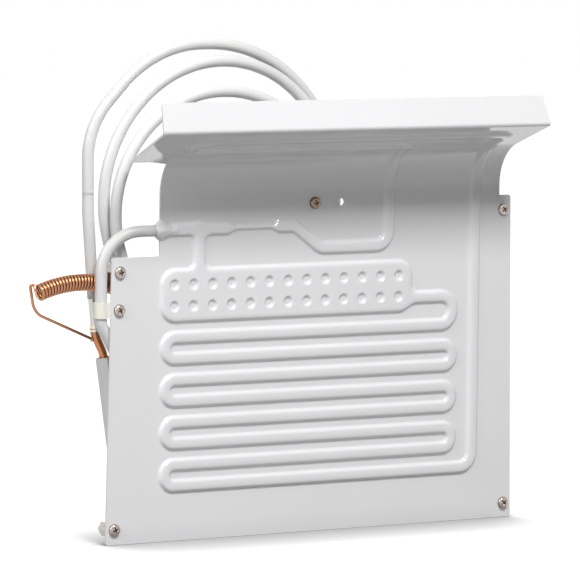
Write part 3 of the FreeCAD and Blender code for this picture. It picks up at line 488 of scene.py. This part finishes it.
def skin_mesh(name, spacing, hole_radius, outer_depth, inner_depth):
    """One skin: its outer face over the grid, and the walls round its edge and its hole to the bond."""
    kept, cells = sheet_grid(spacing, hole_radius)
    edges = np.concatenate([cells[:, [0, 1]], cells[:, [1, 2]], cells[:, [2, 3]], cells[:, [3, 0]]])
    edges = edges[edges[:, 0] != edges[:, 1]]
    ordered = np.sort(edges, axis=1)
    key = ordered[:, 0].astype(np.int64) * len(kept) + ordered[:, 1]
    _, first, counts = np.unique(key, return_index=True, return_counts=True)
    rim = edges[first[counts == 1]]
    depth = outer_depth(kept[:, 0], kept[:, 1])
    outer = place(kept[:, 0], kept[:, 1], depth)
    rim_points = np.unique(rim)
    below = np.full(len(kept), -1)
    below[rim_points] = np.arange(len(rim_points)) + len(kept)
    inner = place(kept[rim_points, 0], kept[rim_points, 1], np.full(len(rim_points), inner_depth))
    walls = np.stack([rim[:, 1], rim[:, 0], below[rim[:, 0]], below[rim[:, 1]]], axis=-1)
    faces = []
    for cell in cells.tolist():
        corners = [corner for i, corner in enumerate(cell) if corner != cell[i - 1]]
        if len(corners) > 2:
            faces.append(corners)
    faces += walls.tolist()
    if inner_depth < float(np.mean(depth)):
        faces = [face[::-1] for face in faces]
    mesh = solid_mesh(name, (np.concatenate([outer, inner]) * MM).tolist(), faces)
    rim_keys = {tuple(sorted(pair)) for pair in rim.tolist()}
    mark_sharp(mesh, lambda ends: tuple(sorted(ends)) in rim_keys)
    return mesh


def front_depth(x, s):
    """Depth of the front face, which stands out where the channels are."""
    return -relief(x, s)


def rear_depth(x, s):
    """Depth of the rear face, flat apart from the round socket at the notch."""
    return SHEET + socket_rise(x, s)


def tube_mesh(name, points, radius, sides=32):
    """Round tube along points in millimetres, turned as little as possible on its way."""
    points = np.array(points, float)
    tangents = np.gradient(points, axis=0)
    tangents /= np.linalg.norm(tangents, axis=1)[:, None]
    across = np.cross(tangents[0], [0.3, 0.1, 0.95])
    across /= np.linalg.norm(across)
    angles = np.linspace(0, 2 * math.pi, sides, endpoint=False)
    rings = []
    for point, tangent in zip(points, tangents):
        across = across - tangent * (across @ tangent)
        across /= np.linalg.norm(across)
        other = np.cross(tangent, across)
        rings.append(point + radius * (np.outer(np.cos(angles), across) + np.outer(np.sin(angles), other)))
    mesh = solid_mesh(name, (np.concatenate(rings) * MM).tolist(), ring_faces(len(rings), sides))
    last = (len(rings) - 1) * sides
    mark_sharp(mesh, lambda ends: max(ends) < sides or min(ends) >= last)
    return mesh


# Materials: how much darker the second tone of a plain colour is, how much finer the bumps are than the tones,
# and the bumps' height in metres
FADED = 0.93
FINE_GRAIN = 22
BUMP_HEIGHT = 0.0003
COAT_IOR = 1.65


def new_material(name):
    material = bpy.data.materials.new(name)
    material.use_nodes = True
    return material, material.node_tree.nodes, material.node_tree.links


def surface(name, colour, roughness, metallic=0.0, tint=None, grain=40.0, bump=0.04, spread=0.06):
    """Painted, moulded or drawn surface with fine unevenness in colour, gloss and height."""
    material, nodes, links = new_material(name)
    shader = nodes["Principled BSDF"]
    shader.inputs["Metallic"].default_value = metallic
    places = nodes.new("ShaderNodeTexCoord")
    broad = nodes.new("ShaderNodeTexNoise")
    broad.inputs["Scale"].default_value = grain
    broad.inputs["Detail"].default_value = 5
    links.new(places.outputs["Object"], broad.inputs["Vector"])
    mix = nodes.new("ShaderNodeMix")
    mix.data_type = "RGBA"
    mix.inputs["A"].default_value = (*colour, 1)
    mix.inputs["B"].default_value = (*(tint or [FADED * part for part in colour]), 1)
    links.new(broad.outputs["Fac"], mix.inputs["Factor"])
    links.new(mix.outputs["Result"], shader.inputs["Base Color"])
    gloss = nodes.new("ShaderNodeMapRange")
    gloss.inputs["To Min"].default_value = roughness - spread / 2
    gloss.inputs["To Max"].default_value = roughness + spread / 2
    links.new(broad.outputs["Fac"], gloss.inputs["Value"])
    links.new(gloss.outputs["Result"], shader.inputs["Roughness"])
    fine = nodes.new("ShaderNodeTexNoise")
    fine.inputs["Scale"].default_value = FINE_GRAIN * grain
    fine.inputs["Detail"].default_value = 3
    links.new(places.outputs["Object"], fine.inputs["Vector"])
    height = nodes.new("ShaderNodeBump")
    height.inputs["Strength"].default_value = bump
    height.inputs["Distance"].default_value = BUMP_HEIGHT
    links.new(fine.outputs["Fac"], height.inputs["Height"])
    links.new(height.outputs["Normal"], shader.inputs["Normal"])
    return material


white_coat = surface("white_coat", (0.755, 0.755, 0.765), 0.05, grain=9, bump=0.004, spread=0.02)
white_collar = surface("white_collar", (0.755, 0.755, 0.765), 0.07, grain=60, bump=0.02, spread=0.03)
white_sleeve = surface("white_sleeve", (0.70, 0.70, 0.695), 0.36, grain=30, bump=0.02)
sleeve_shader = white_sleeve.node_tree.nodes["Principled BSDF"]
sleeve_shader.inputs["Subsurface Weight"].default_value = 0.8
sleeve_shader.inputs["Subsurface Radius"].default_value = (1.0, 1.0, 0.95)
sleeve_shader.inputs["Subsurface Scale"].default_value = 0.005
bare_aluminium = surface("bare_aluminium", (0.55, 0.55, 0.54), 0.4, 1.0, grain=90, bump=0.06)
joint_metal = surface("joint_metal", (0.80, 0.75, 0.62), 0.34, 0.7, grain=90, bump=0.06)
copper = surface("copper", (0.50, 0.23, 0.12), 0.3, 1.0, tint=(0.36, 0.14, 0.06), grain=120, bump=0.05)
helix_copper = surface(
    "helix_copper", (0.43, 0.215, 0.12), 0.3, 1.0, tint=(0.36, 0.175, 0.095), grain=120, bump=0.05
)
clip_plastic = surface("clip_plastic", (0.80, 0.79, 0.70), 0.42, grain=60, bump=0.04)
card_face = surface("card_face", (0.95, 0.94, 0.93), 0.6, grain=45, bump=0.05)
card_edge = surface("card_edge", (0.36, 0.22, 0.14), 0.8, tint=(0.24, 0.14, 0.09), grain=300, bump=0.3)
screw_steel = surface("screw_steel", (0.50, 0.45, 0.42), 0.24, 1.0, tint=(0.26, 0.21, 0.18), grain=420, bump=0.1)
solder_metal = surface(
    "solder_metal", (0.24, 0.15, 0.10), 0.35, 1.0, tint=(0.45, 0.33, 0.26), grain=600, bump=0.15
)
# Near-black steel for the deep faces of the screws' cross recess: painted shade in the recess, not a different
# metal
recess_painted_shade = surface(
    "recess_painted_shade", (0.13, 0.105, 0.09), 0.3, 1.0, tint=(0.07, 0.05, 0.04), grain=420, bump=0.1
)
dark_steel = surface("dark_steel", (0.26, 0.20, 0.15), 0.25, 1.0, tint=(0.14, 0.10, 0.07), grain=160, bump=0.08)
standoff_steel = surface(
    "standoff_steel", (0.60, 0.58, 0.55), 0.3, 1.0, tint=(0.5, 0.47, 0.43), grain=120, bump=0.06
)

for material in (white_coat, white_collar):
    material.node_tree.nodes["Principled BSDF"].inputs["IOR"].default_value = COAT_IOR

# Finishes of the scene's own pieces: a material, and the slot that it stands for
COATED = (white_coat, "white_coat")
BRAZED = (white_collar, "white_collar")
SLEEVED = (white_sleeve, "white_sleeve")
DRAWN_COPPER = (copper, "copper")
WOUND_COPPER = (helix_copper, "copper")
SOLDERED = (solder_metal, "joint_metal")
BRIGHT_STEEL = (screw_steel, "screw_steel")
BROWN_STEEL = (dark_steel, "screw_steel")

# The plate. The hole is wider in the rear skin, and the rear skin's grid is coarser
REAR_HOLE_RADIUS = SPARE_HOLE_RADIUS + 0.7
front_mesh = skin_mesh("front_sheet", SPACING, SPARE_HOLE_RADIUS, front_depth, SKIN)
front_sheet = finish_piece("front_sheet", front_mesh, COATED)
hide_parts("front_skin")
rear_mesh = skin_mesh("rear_sheet", 2 * SPACING, REAR_HOLE_RADIUS, rear_depth, SKIN)
rear_sheet = finish_piece("rear_sheet", rear_mesh, COATED)
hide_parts("rear_skin")


def on_plate(x, height, depth=0.0):
    """Place at a height over the plate's foot and a depth behind its front face."""
    return np.array([x, FRONT + depth, FOOT + height])


def between(first, last, share):
    return first + (last - first) * share


def direction(first, last):
    return (last - first) / np.linalg.norm(last - first)


# The suction line
TUBE_RADIUS = 3.175
SLEEVE_RADIUS = TUBE_RADIUS + 1.2
SCREW_INSET = 11
CLIP_DROP = 27.5
CLIP_LENGTH = 11.5
CLIP_HEIGHT = LEFT_FLANGE - SCREW_INSET - CLIP_DROP
CLIP_Z = FOOT + CLIP_HEIGHT
CLIP_DEPTH = 6.8
RUN_X = -float(half_width(CLIP_HEIGHT)) - 4.58
RUN_BEND = 30.5
LINE_STEP = 2.5

# Turns of the coil, in eighths. The entry swings in round its own middle, from ENTRY_BACK eighths before the level.
# After it, three stations a turn apart give the radius, height and middle of the turns
EIGHTH = 45
ENTRY_X = RUN_X + 109.3 - 6.1
ENTRY_HEIGHT = PORT_RUN + 10
ENTRY_STEPS = 5
ENTRY_BACK = 3.34
ENTRY_RADIUS = 138 / 1.08
ENTRY_SHRINK = 0.25
COIL_STEPS = 18
COIL_RADII = (91.9, 95.6, 111.6)
COIL_HEIGHTS = (224, 243.1, 239.6)
COIL_MIDDLES = (-72.7, -66.9, -75.8)
COIL_DEPTHS = (8.9, 29.8)
FIRST_STATION = 1.5
LAST_STATION = 1.999


def coil_corner(x, height, radius, angle, depth):
    """Corner of an octagon round the coil's middle whose sides touch the radius."""
    reach = radius / math.cos(math.pi / 8)
    turn = math.radians(angle)
    return on_plate(x + reach * math.cos(turn), height + reach * math.sin(turn), depth)


def coil_corners():
    corners = []
    for step in range(ENTRY_STEPS):
        share = step / (ENTRY_STEPS - 1)
        angle = EIGHTH / 2 + EIGHTH * (step / 2 - ENTRY_BACK)
        radius = ENTRY_RADIUS * (1 - ENTRY_SHRINK * share**3)
        depth = between(CLIP_DEPTH, COIL_DEPTHS[0], share)
        corner = coil_corner(ENTRY_X, ENTRY_HEIGHT, radius, angle, depth)
        corners.append((corner, None if step else RUN_BEND))
    for step in range(COIL_STEPS + 1):
        turn = min(max((step - FIRST_STATION) / 8, 0), LAST_STATION)
        whole = int(turn)
        radius = between(COIL_RADII[whole], COIL_RADII[whole + 1], turn - whole)
        height = between(COIL_HEIGHTS[whole], COIL_HEIGHTS[whole + 1], turn - whole) - FOOT
        middle = between(COIL_MIDDLES[whole], COIL_MIDDLES[whole + 1], turn - whole)
        depth = between(*COIL_DEPTHS, min((step + 0.5) / COIL_STEPS, 1))
        corners.append((coil_corner(middle, height, radius, EIGHTH / 2 + EIGHTH * step, depth), None))
    return corners


# The last run, down to the joint, and the copper tail in its card
LAST_X = RUN_X + 2.6
LAST_DEPTH = 31
LAST_BEND = 60
SEAM_SHARE = 49 / 63
SEAM_GAP = 0.06
JOINT_LENGTH = 5.5
JOINT_RADIUS = 3.9
shoulder_corner = on_plate(LAST_X - TUBE_RADIUS / 4, PORT_RUN + 75, LAST_DEPTH)
last_corner = on_plate(LAST_X, PORT_RUN + 12, LAST_DEPTH)
last_end = np.array([RUN_X + 9.1, last_corner[1], CLIP_Z - 15.2])
seam = between(shoulder_corner, last_corner, SEAM_SHARE)
tail_way = direction(last_corner, last_end)
second_end = between(last_corner, last_end, (CLIP_Z + 6.5 - last_corner[2]) / (last_end[2] - last_corner[2]))
clip_middle = on_plate(RUN_X, CLIP_HEIGHT, CLIP_DEPTH)
sleeve_start = on_plate(NOTCH - 4.2, PORT_RUN, SKIN)
port_line = [(sleeve_start, 0), (on_plate(NOTCH - 12.8, PORT_RUN, SKIN), 20)]
port_line += [(on_plate(RUN_X, PORT_RUN, CLIP_DEPTH), RUN_BEND), (clip_middle, 0)]
first_line = [(clip_middle, 0), (clip_middle - [0, 0, 0.85 * CLIP_LENGTH], 12)]
first_line += coil_corners() + [(shoulder_corner, LAST_BEND), (seam + tail_way * -SEAM_GAP, 0)]
second_line = [(seam + tail_way * SEAM_GAP, 0), (last_corner, LAST_BEND), (second_end, 0)]
joint_end = last_end + tail_way * (JOINT_LENGTH / 2)
tail_knee = joint_end + tail_way * TUBE_RADIUS
tail_corner = last_end + np.array([7.2, 0, -18.8])
tail_end = tail_corner + np.array([13.0, 0, -85.0])
tail_line = [(last_end, 0), (tail_knee, 2.5 * TUBE_RADIUS), (tail_corner, 5 * TUBE_RADIUS), (tail_end, 0)]
LINES = [
    ("port_sleeve", "sleeve_port_length", port_line, SLEEVE_RADIUS, SLEEVED),
    ("coiled_sleeve", "sleeve_first_length", first_line, SLEEVE_RADIUS, SLEEVED),
    ("last_sleeve", "sleeve_second_length", second_line, SLEEVE_RADIUS, SLEEVED),
    ("tail_tube", "copper_tail", tail_line, TUBE_RADIUS, DRAWN_COPPER),
]
for name, node, line, radius, finish in LINES:
    tube = finish_piece(name, tube_mesh(name, rounded_path(line, LINE_STEP), radius), finish)
    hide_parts(node)

# The capillary tube: a bowed helix, a lead that runs back to the tail, and a free end behind the plate
CAPILLARY_RADIUS = 1.12
CAPILLARY_SIDES = 12
HELIX_RADIUS = 5.25
HELIX_TURNS = 28
HELIX_STEPS = 28
HELIX_REACH = 34.9
HELIX_BOW = 6.4
HELIX_START = -math.pi / 3
HELIX_MIDDLE = np.array([RUN_X - 9.9, FRONT + 18.7, CLIP_Z + 19.8])
INLET_SHARE = 0.06
tail_side = np.cross(tail_corner - tail_knee, [0, -1, 0])
tail_side /= np.linalg.norm(tail_side)
tail_inlet = between(tail_knee, tail_corner, INLET_SHARE)


def helix_points():
    bow_radius = (HELIX_REACH**2 + HELIX_BOW**2) / (2 * HELIX_BOW)
    half_turn = math.asin(HELIX_REACH / bow_radius)
    points = []
    count = HELIX_TURNS * HELIX_STEPS
    for i in range(count + 1):
        lean = between(-half_turn, half_turn, i / count)
        middle = HELIX_MIDDLE + bow_radius * np.array([math.sin(lean), 0, math.cos(lean) - 1])
        up = np.array([math.sin(lean), 0, math.cos(lean)])
        turn = 2 * math.pi * HELIX_TURNS * i / count + HELIX_START
        points.append(middle + HELIX_RADIUS * (np.array([0, -1, 0]) * math.sin(turn) - up * math.cos(turn)))
    return points


def capillary_points():
    coil = helix_points()
    start, end = coil[0], coil[-1]
    lead = [
        (tail_inlet + tail_side * (TUBE_RADIUS + 0.03), 0),
        (start + [0.3, 4.3, -12.9], 14.0),
        (start + [-3.4, 4.3, 7.5], 1.2),
        (start + [0, 4.3, 7.5], 1.2),
        (start, 0),
    ]
    onward = coil[-1] - coil[-2]
    free = [(end, 0), (end + onward * (HELIX_RADIUS / np.linalg.norm(onward)), 0.8 * HELIX_RADIUS)]
    free.append((end + np.array([0.3, 0.6, -4.8]) * HELIX_RADIUS, 2.4 * HELIX_RADIUS))
    free.append((end + np.array([0.3, 0.6, -17.0]) * HELIX_RADIUS, 0))
    lead_points, free_points = rounded_path(lead, PATH_STEP), rounded_path(free, PATH_STEP)
    return np.concatenate([lead_points[:-1], coil, free_points[1:]])


capillary_mesh = tube_mesh("fine_capillary", capillary_points(), CAPILLARY_RADIUS, CAPILLARY_SIDES)
capillary = finish_piece("fine_capillary", capillary_mesh, WOUND_COPPER)
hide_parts("capillary")

# Solder where the capillary enters the tail, a lumpy bead, and the bands round the joint
SOLDER_RADIUS = 1.6
SOLDER_STRETCH = 1.25
LUMP = 0.16
solder_middle = tail_inlet + tail_side * (TUBE_RADIUS + 0.1)
solder_mesh = bpy.data.meshes.new("solder")
ball = bmesh.new()
bmesh.ops.create_uvsphere(ball, u_segments=20, v_segments=12, radius=SOLDER_RADIUS * MM)
for vertex in ball.verts:
    lump = 1 + LUMP * math.sin(1900 * vertex.co.x + 1) * math.cos(2300 * vertex.co.z)
    stretched = Vector((vertex.co.x, vertex.co.y, SOLDER_STRETCH * vertex.co.z))
    vertex.co = Vector(solder_middle * MM) + stretched * lump
ball.to_mesh(solder_mesh)
ball.free()
finish_piece("solder", solder_mesh, SOLDERED)

BAND_PLACES = (-2.2, 0.1, 1.5)
BAND_HALF = 0.32
BAND_RADIUS = JOINT_RADIUS + 0.12
BAND_SIDES = 40
for index, along in enumerate(BAND_PLACES):
    ends = [joint_end + tail_way * (along - BAND_HALF), joint_end + tail_way * (along + BAND_HALF)]
    band = tube_mesh(f"joint_band_{index}", ends, BAND_RADIUS, BAND_SIDES)
    finish_piece(f"joint_band_{index}", band, SOLDERED)

# Screws: a domed head with a cross recess, and a thread behind it
ROUND_STEPS = 64
HEAD_RADIUS = 4.5
HEAD_HEIGHT = 2.7
HEAD_DROP = 0.85
HEAD_RINGS = 44
HEAD_TOP_RINGS = 40
HEAD_SIDE = ((4.2, -1.5), (4.4, -1.05), (4.5, -0.5), (4.5, 0))
THREAD_RADII = (1.75, 2.0)
THREAD_RINGS = 18
THREAD_START = 0.2
THREAD_STEP = 0.37
TIP_RADIUS = 1.5
TIP_DEPTH = 7.0
CROSS_HALF = 0.62
CROSS_EDGE = 0.12
CROSS_REACH = (2.0, 2.5)
CROSS_CORE = (0.75, 1.15)
CROSS_DEPTH = 1.5
# Head faces deeper in the cross than RECESS, within RECESS_RADIUS of the axis and more than RECESS_DEPTH in front
# of the plate get painted shade
RECESS = 0.3
RECESS_RADIUS = 3.9
RECESS_DEPTH = 0.4
SCREW_SIDE = 6.8


def cross_depth(x, z, twist):
    """Depth of the cross recess at a place on the head."""
    c, s = math.cos(twist), math.sin(twist)
    u, v = abs(c * x + s * z), abs(c * z - s * x)
    long, short = max(u, v), min(u, v)
    width = CROSS_HALF - 0.1 * long
    inside = 1 - float(smooth(short, width - CROSS_EDGE, width + CROSS_EDGE))
    reach = 1 - float(smooth(long, *CROSS_REACH))
    core = 1 - float(smooth(math.hypot(u, v), *CROSS_CORE))
    return max(inside * reach, core) * (CROSS_DEPTH - 0.25 * long)


def screw_mesh(name, x, z, twist):
    """A screw turned round its axis from (radius, depth, 1 where the recess is pressed in)."""
    rings = []
    for radius in [0.02] + [HEAD_RADIUS * i / HEAD_RINGS for i in range(1, HEAD_TOP_RINGS)]:
        rings.append((radius, -HEAD_HEIGHT + HEAD_DROP * (radius / (0.9 * HEAD_RADIUS)) ** 4, 1))
    rings += [(radius, depth, 0) for radius, depth in HEAD_SIDE]
    rings.append((THREAD_RADII[1], 0, 0))
    rings += [(THREAD_RADII[i % 2], THREAD_START + THREAD_STEP * i, 0) for i in range(THREAD_RINGS)]
    rings.append((TIP_RADIUS, TIP_DEPTH, 0))
    points = []
    for radius, depth, dent in rings:
        for i in range(ROUND_STEPS):
            turn = 2 * math.pi * i / ROUND_STEPS
            px, pz = radius * math.cos(turn), radius * math.sin(turn)
            sunk = cross_depth(px, pz, twist) if dent else 0
            points.append(((x + px) * MM, (FRONT + depth + sunk) * MM, (z + pz) * MM))
    return solid_mesh(name, points, ring_faces(len(rings), ROUND_STEPS))


def edge_place(side, height):
    """Place of a screw beside the plate's left edge (-1) or right edge (1)."""
    return side * (float(half_width(height)) - SCREW_SIDE), FOOT + height


SCREWS = [
    ("screw_lower_left", edge_place(-1, SCREW_INSET), 0.3, BRIGHT_STEEL),
    ("screw_lower_right", edge_place(1, SCREW_INSET), 0.75, BRIGHT_STEEL),
    ("screw_upper_left", edge_place(-1, LEFT_FLANGE - SCREW_INSET), 0.15, BRIGHT_STEEL),
    ("screw_upper_right", edge_place(1, RIGHT_FLANGE - SCREW_INSET), 0.6, BRIGHT_STEEL),
    ("clip_screw", edge_place(-1, CLIP_HEIGHT), 0.5, BRIGHT_STEEL),
    ("centre_screw", (-1.6, FOOT + SPARE_HOLE[1]), 0.2, BROWN_STEEL),
]
for node, (x, z), twist, finish in SCREWS:
    item = finish_piece("fine_" + node, screw_mesh("fine_" + node, x, z, twist), finish)
    # The deep faces of the cross recess take the near-black steel: painted shade in the recess
    item.data.materials.append(recess_painted_shade)
    for face in item.data.polygons:
        px, pz = face.center.x / MM - x, face.center.z / MM - z
        on_head = face.center.y / MM < FRONT - RECESS_DEPTH and math.hypot(px, pz) < RECESS_RADIUS
        face.material_index = int(on_head and cross_depth(px, pz, twist) > RECESS)
    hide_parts(node)

# Brazed collar: a pinched diamond at the notch, round at the sleeve and drawn out over the channel.
# Each ring is (place past the notch, half height, half depth, power of its outline: 1 a diamond, 2 an ellipse)
COLLAR_RINGS = [
    (-4.6, 4.3, 4.3, 2.0),
    (-4.2, 4.55, 4.5, 2.0),
    (-3.2, 5.3, 4.8, 1.8),
    (-1.6, 6.8, 5.3, 1.5),
    (0.2, 8.3, 5.6, 1.3),
    (1.4, 8.8, 5.6, 1.25),
    (2.6, 8.3, 5.3, 1.3),
    (5.0, 6.7, 4.7, 1.4),
    (8.0, 5.2, 4.1, 1.7),
    (11.0, 4.4, 3.7, 1.9),
    (14.5, 3.6, 3.1, 2.0),
]


def collar_mesh():
    points = []
    for x, high, deep, power in COLLAR_RINGS:
        for i in range(ROUND_STEPS):
            turn = 2 * math.pi * i / ROUND_STEPS
            across, up = math.cos(turn), math.sin(turn)
            reach = (abs(across) ** power + abs(up) ** power) ** (-1 / power)
            offset = reach * np.array([0, deep * across, high * up])
            points.append(tuple((on_plate(NOTCH + x, PORT_RUN, SKIN) + offset) * MM))
    return solid_mesh("braze", points, ring_faces(len(COLLAR_RINGS), ROUND_STEPS))


collar = finish_piece("braze", collar_mesh(), BRAZED)
rounder = collar.modifiers.new("round", "SUBSURF")
rounder.levels = 1
rounder.render_levels = 1
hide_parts("port_collar")

# Materials and small bevels, in millimetres, of the nodes that stay as they are
NODE_MATERIALS = {
    "port_tube": bare_aluminium,
    "capillary_in_channel": copper,
    "bare_tube_end": bare_aluminium,
    "transition_joint": joint_metal,
    "card_sleeve": card_face,
    "pipe_clip": clip_plastic,
    "clip_nut": screw_steel,
    "centre_nut": screw_steel,
}
BEVELS = {"transition_joint": 0.5, "pipe_clip": 0.35, "clip_nut": 0.3, "centre_nut": 0.3}
STANDOFF_BEVEL = 0.45
BEVEL_STEPS = 3
BEVEL_FROM = math.radians(35)
for node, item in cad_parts.items():
    material = NODE_MATERIALS.get(node, standoff_steel)
    item.data.materials.clear()
    item.data.materials.append(material)
    width = STANDOFF_BEVEL if node.startswith("standoff") else BEVELS.get(node, 0)
    if width:
        bevel = item.modifiers.new("edges", "BEVEL")
        bevel.width = width * MM
        bevel.segments = BEVEL_STEPS
        bevel.limit_method = "ANGLE"
        bevel.angle_limit = BEVEL_FROM

# Brown cut ends of the folded card
CUT_END = 0.9
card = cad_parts["card_sleeve"]
card.data.materials.append(card_edge)
card_way = Vector(direction(tail_corner, tail_end))
for face in card.data.polygons:
    if abs(face.normal.dot(card_way)) > CUT_END:
        face.material_index = 1

# Camera at the photograph's place
CAMERA_PLACE = Vector((-2063.0, -3241.3, 510.3)) * MM
CAMERA_YAW = math.radians(-32.3)
CAMERA_PITCH = math.radians(90 - 5.1)
CAMERA_ROLL = math.radians(0.69)
CAMERA_SENSOR = 36
CAMERA_LENS = 322.4
CAMERA_REACH = 50
camera_data = bpy.data.cameras.new("camera")
camera_data.sensor_width = CAMERA_SENSOR
camera_data.lens = CAMERA_LENS
camera_data.clip_end = CAMERA_REACH
camera = bpy.data.objects.new("camera", camera_data)
facing = Matrix.Rotation(CAMERA_YAW, 4, "Z") @ Matrix.Rotation(CAMERA_PITCH, 4, "X")
camera.matrix_world = Matrix.Translation(CAMERA_PLACE) @ facing @ Matrix.Rotation(CAMERA_ROLL, 4, "Z")
bpy.context.scene.collection.objects.link(camera)
bpy.context.scene.camera = camera

# Floor, backdrop and light
def seen_white(node_tree):
    """1 where the camera, a mirror or glass looks straight at the surface, else 0."""
    paths = node_tree.nodes.new("ShaderNodeLightPath")
    first = node_tree.nodes.new("ShaderNodeMath")
    first.operation = "MAXIMUM"
    second = node_tree.nodes.new("ShaderNodeMath")
    second.operation = "MAXIMUM"
    node_tree.links.new(paths.outputs["Is Camera Ray"], first.inputs[0])
    node_tree.links.new(paths.outputs["Is Glossy Ray"], first.inputs[1])
    node_tree.links.new(first.outputs[0], second.inputs[0])
    node_tree.links.new(paths.outputs["Is Transmission Ray"], second.inputs[1])
    return second.outputs[0]


FLOOR_HALF = 6.0
FLOOR_GAP = 0.0002
FLOOR_TONE = 0.31
SHADOW_REACH = 0.1
SHADOW_POWER = 3.0
floor_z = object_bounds()[0][2] - FLOOR_GAP
floor_corners = [(-1, -1), (1, -1), (1, 1), (-1, 1)]
floor_points = [(x * FLOOR_HALF, y * FLOOR_HALF, floor_z) for x, y in floor_corners]
floor_mesh = solid_mesh("floor", floor_points, [(0, 1, 2, 3)])
floor = bpy.data.objects.new("floor", floor_mesh)
bpy.context.scene.collection.objects.link(floor)
floor_material, nodes, links = new_material("floor")
shader = nodes["Principled BSDF"]
shader.inputs["Base Color"].default_value = (FLOOR_TONE, FLOOR_TONE, FLOOR_TONE, 1)
shader.inputs["Roughness"].default_value = 0.9
shader.inputs["Specular IOR Level"].default_value = 0.1
shader.inputs["Emission Color"].default_value = (1, 1, 1, 1)
# The floor is seen white, apart from the soft contact shadow round the plate's foot
contact = nodes.new("ShaderNodeAmbientOcclusion")
contact.samples = 12
contact.inputs["Distance"].default_value = SHADOW_REACH
deeper = nodes.new("ShaderNodeMath")
deeper.operation = "POWER"
deeper.inputs[1].default_value = SHADOW_POWER
links.new(contact.outputs["AO"], deeper.inputs[0])
glow = nodes.new("ShaderNodeMath")
glow.operation = "MULTIPLY"
links.new(seen_white(floor_material.node_tree), glow.inputs[0])
links.new(deeper.outputs[0], glow.inputs[1])
links.new(glow.outputs[0], shader.inputs["Emission Strength"])
floor_mesh.materials.append(floor_material)


def area_light(name, place_at, target, size, power):
    light = bpy.data.lights.new(name, "AREA")
    light.shape = "SQUARE"
    light.size = size
    light.energy = power
    item = bpy.data.objects.new(name, light)
    item.location = place_at
    item.rotation_euler = (Vector(target) - Vector(place_at)).to_track_quat("-Z", "Y").to_euler()
    bpy.context.scene.collection.objects.link(item)


# Lamps: name, place, target, size in metres and power in watts
LAMPS = [
    ("key", (-0.25, -1.5, 1.95), (0, 0, 0.15), 0.6, 55),
    ("fill", (1.9, -1.6, 0.7), (0, 0, 0.12), 1.2, 1.2),
    ("side", (-2.2, -0.45, 1.4), (-0.15, 0, 0.2), 1.4, 33),
    ("back", (0.7, 2.2, 1.0), (0, 0, 0.15), 1.4, 15),
]
for lamp in LAMPS:
    area_light(*lamp)

# The world is seen white, and gives the part only a low, faintly purple light
WORLD_TINT = (1.0, 0.93, 1.0, 1)
WORLD_LEVEL = 0.03
world = bpy.data.worlds.new("studio")
bpy.context.scene.world = world
world.use_nodes = True
background = world.node_tree.nodes["Background"]
tone = world.node_tree.nodes.new("ShaderNodeMix")
tone.data_type = "RGBA"
tone.inputs["A"].default_value = WORLD_TINT
tone.inputs["B"].default_value = (1, 1, 1, 1)
world.node_tree.links.new(seen_white(world.node_tree), tone.inputs["Factor"])
world.node_tree.links.new(tone.outputs["Result"], background.inputs["Color"])
level = world.node_tree.nodes.new("ShaderNodeMapRange")
level.inputs["To Min"].default_value = WORLD_LEVEL
level.inputs["To Max"].default_value = 1.0
world.node_tree.links.new(seen_white(world.node_tree), level.inputs["Value"])
world.node_tree.links.new(level.outputs["Result"], background.inputs["Strength"])

bpy.context.scene.view_settings.view_transform = "Standard"
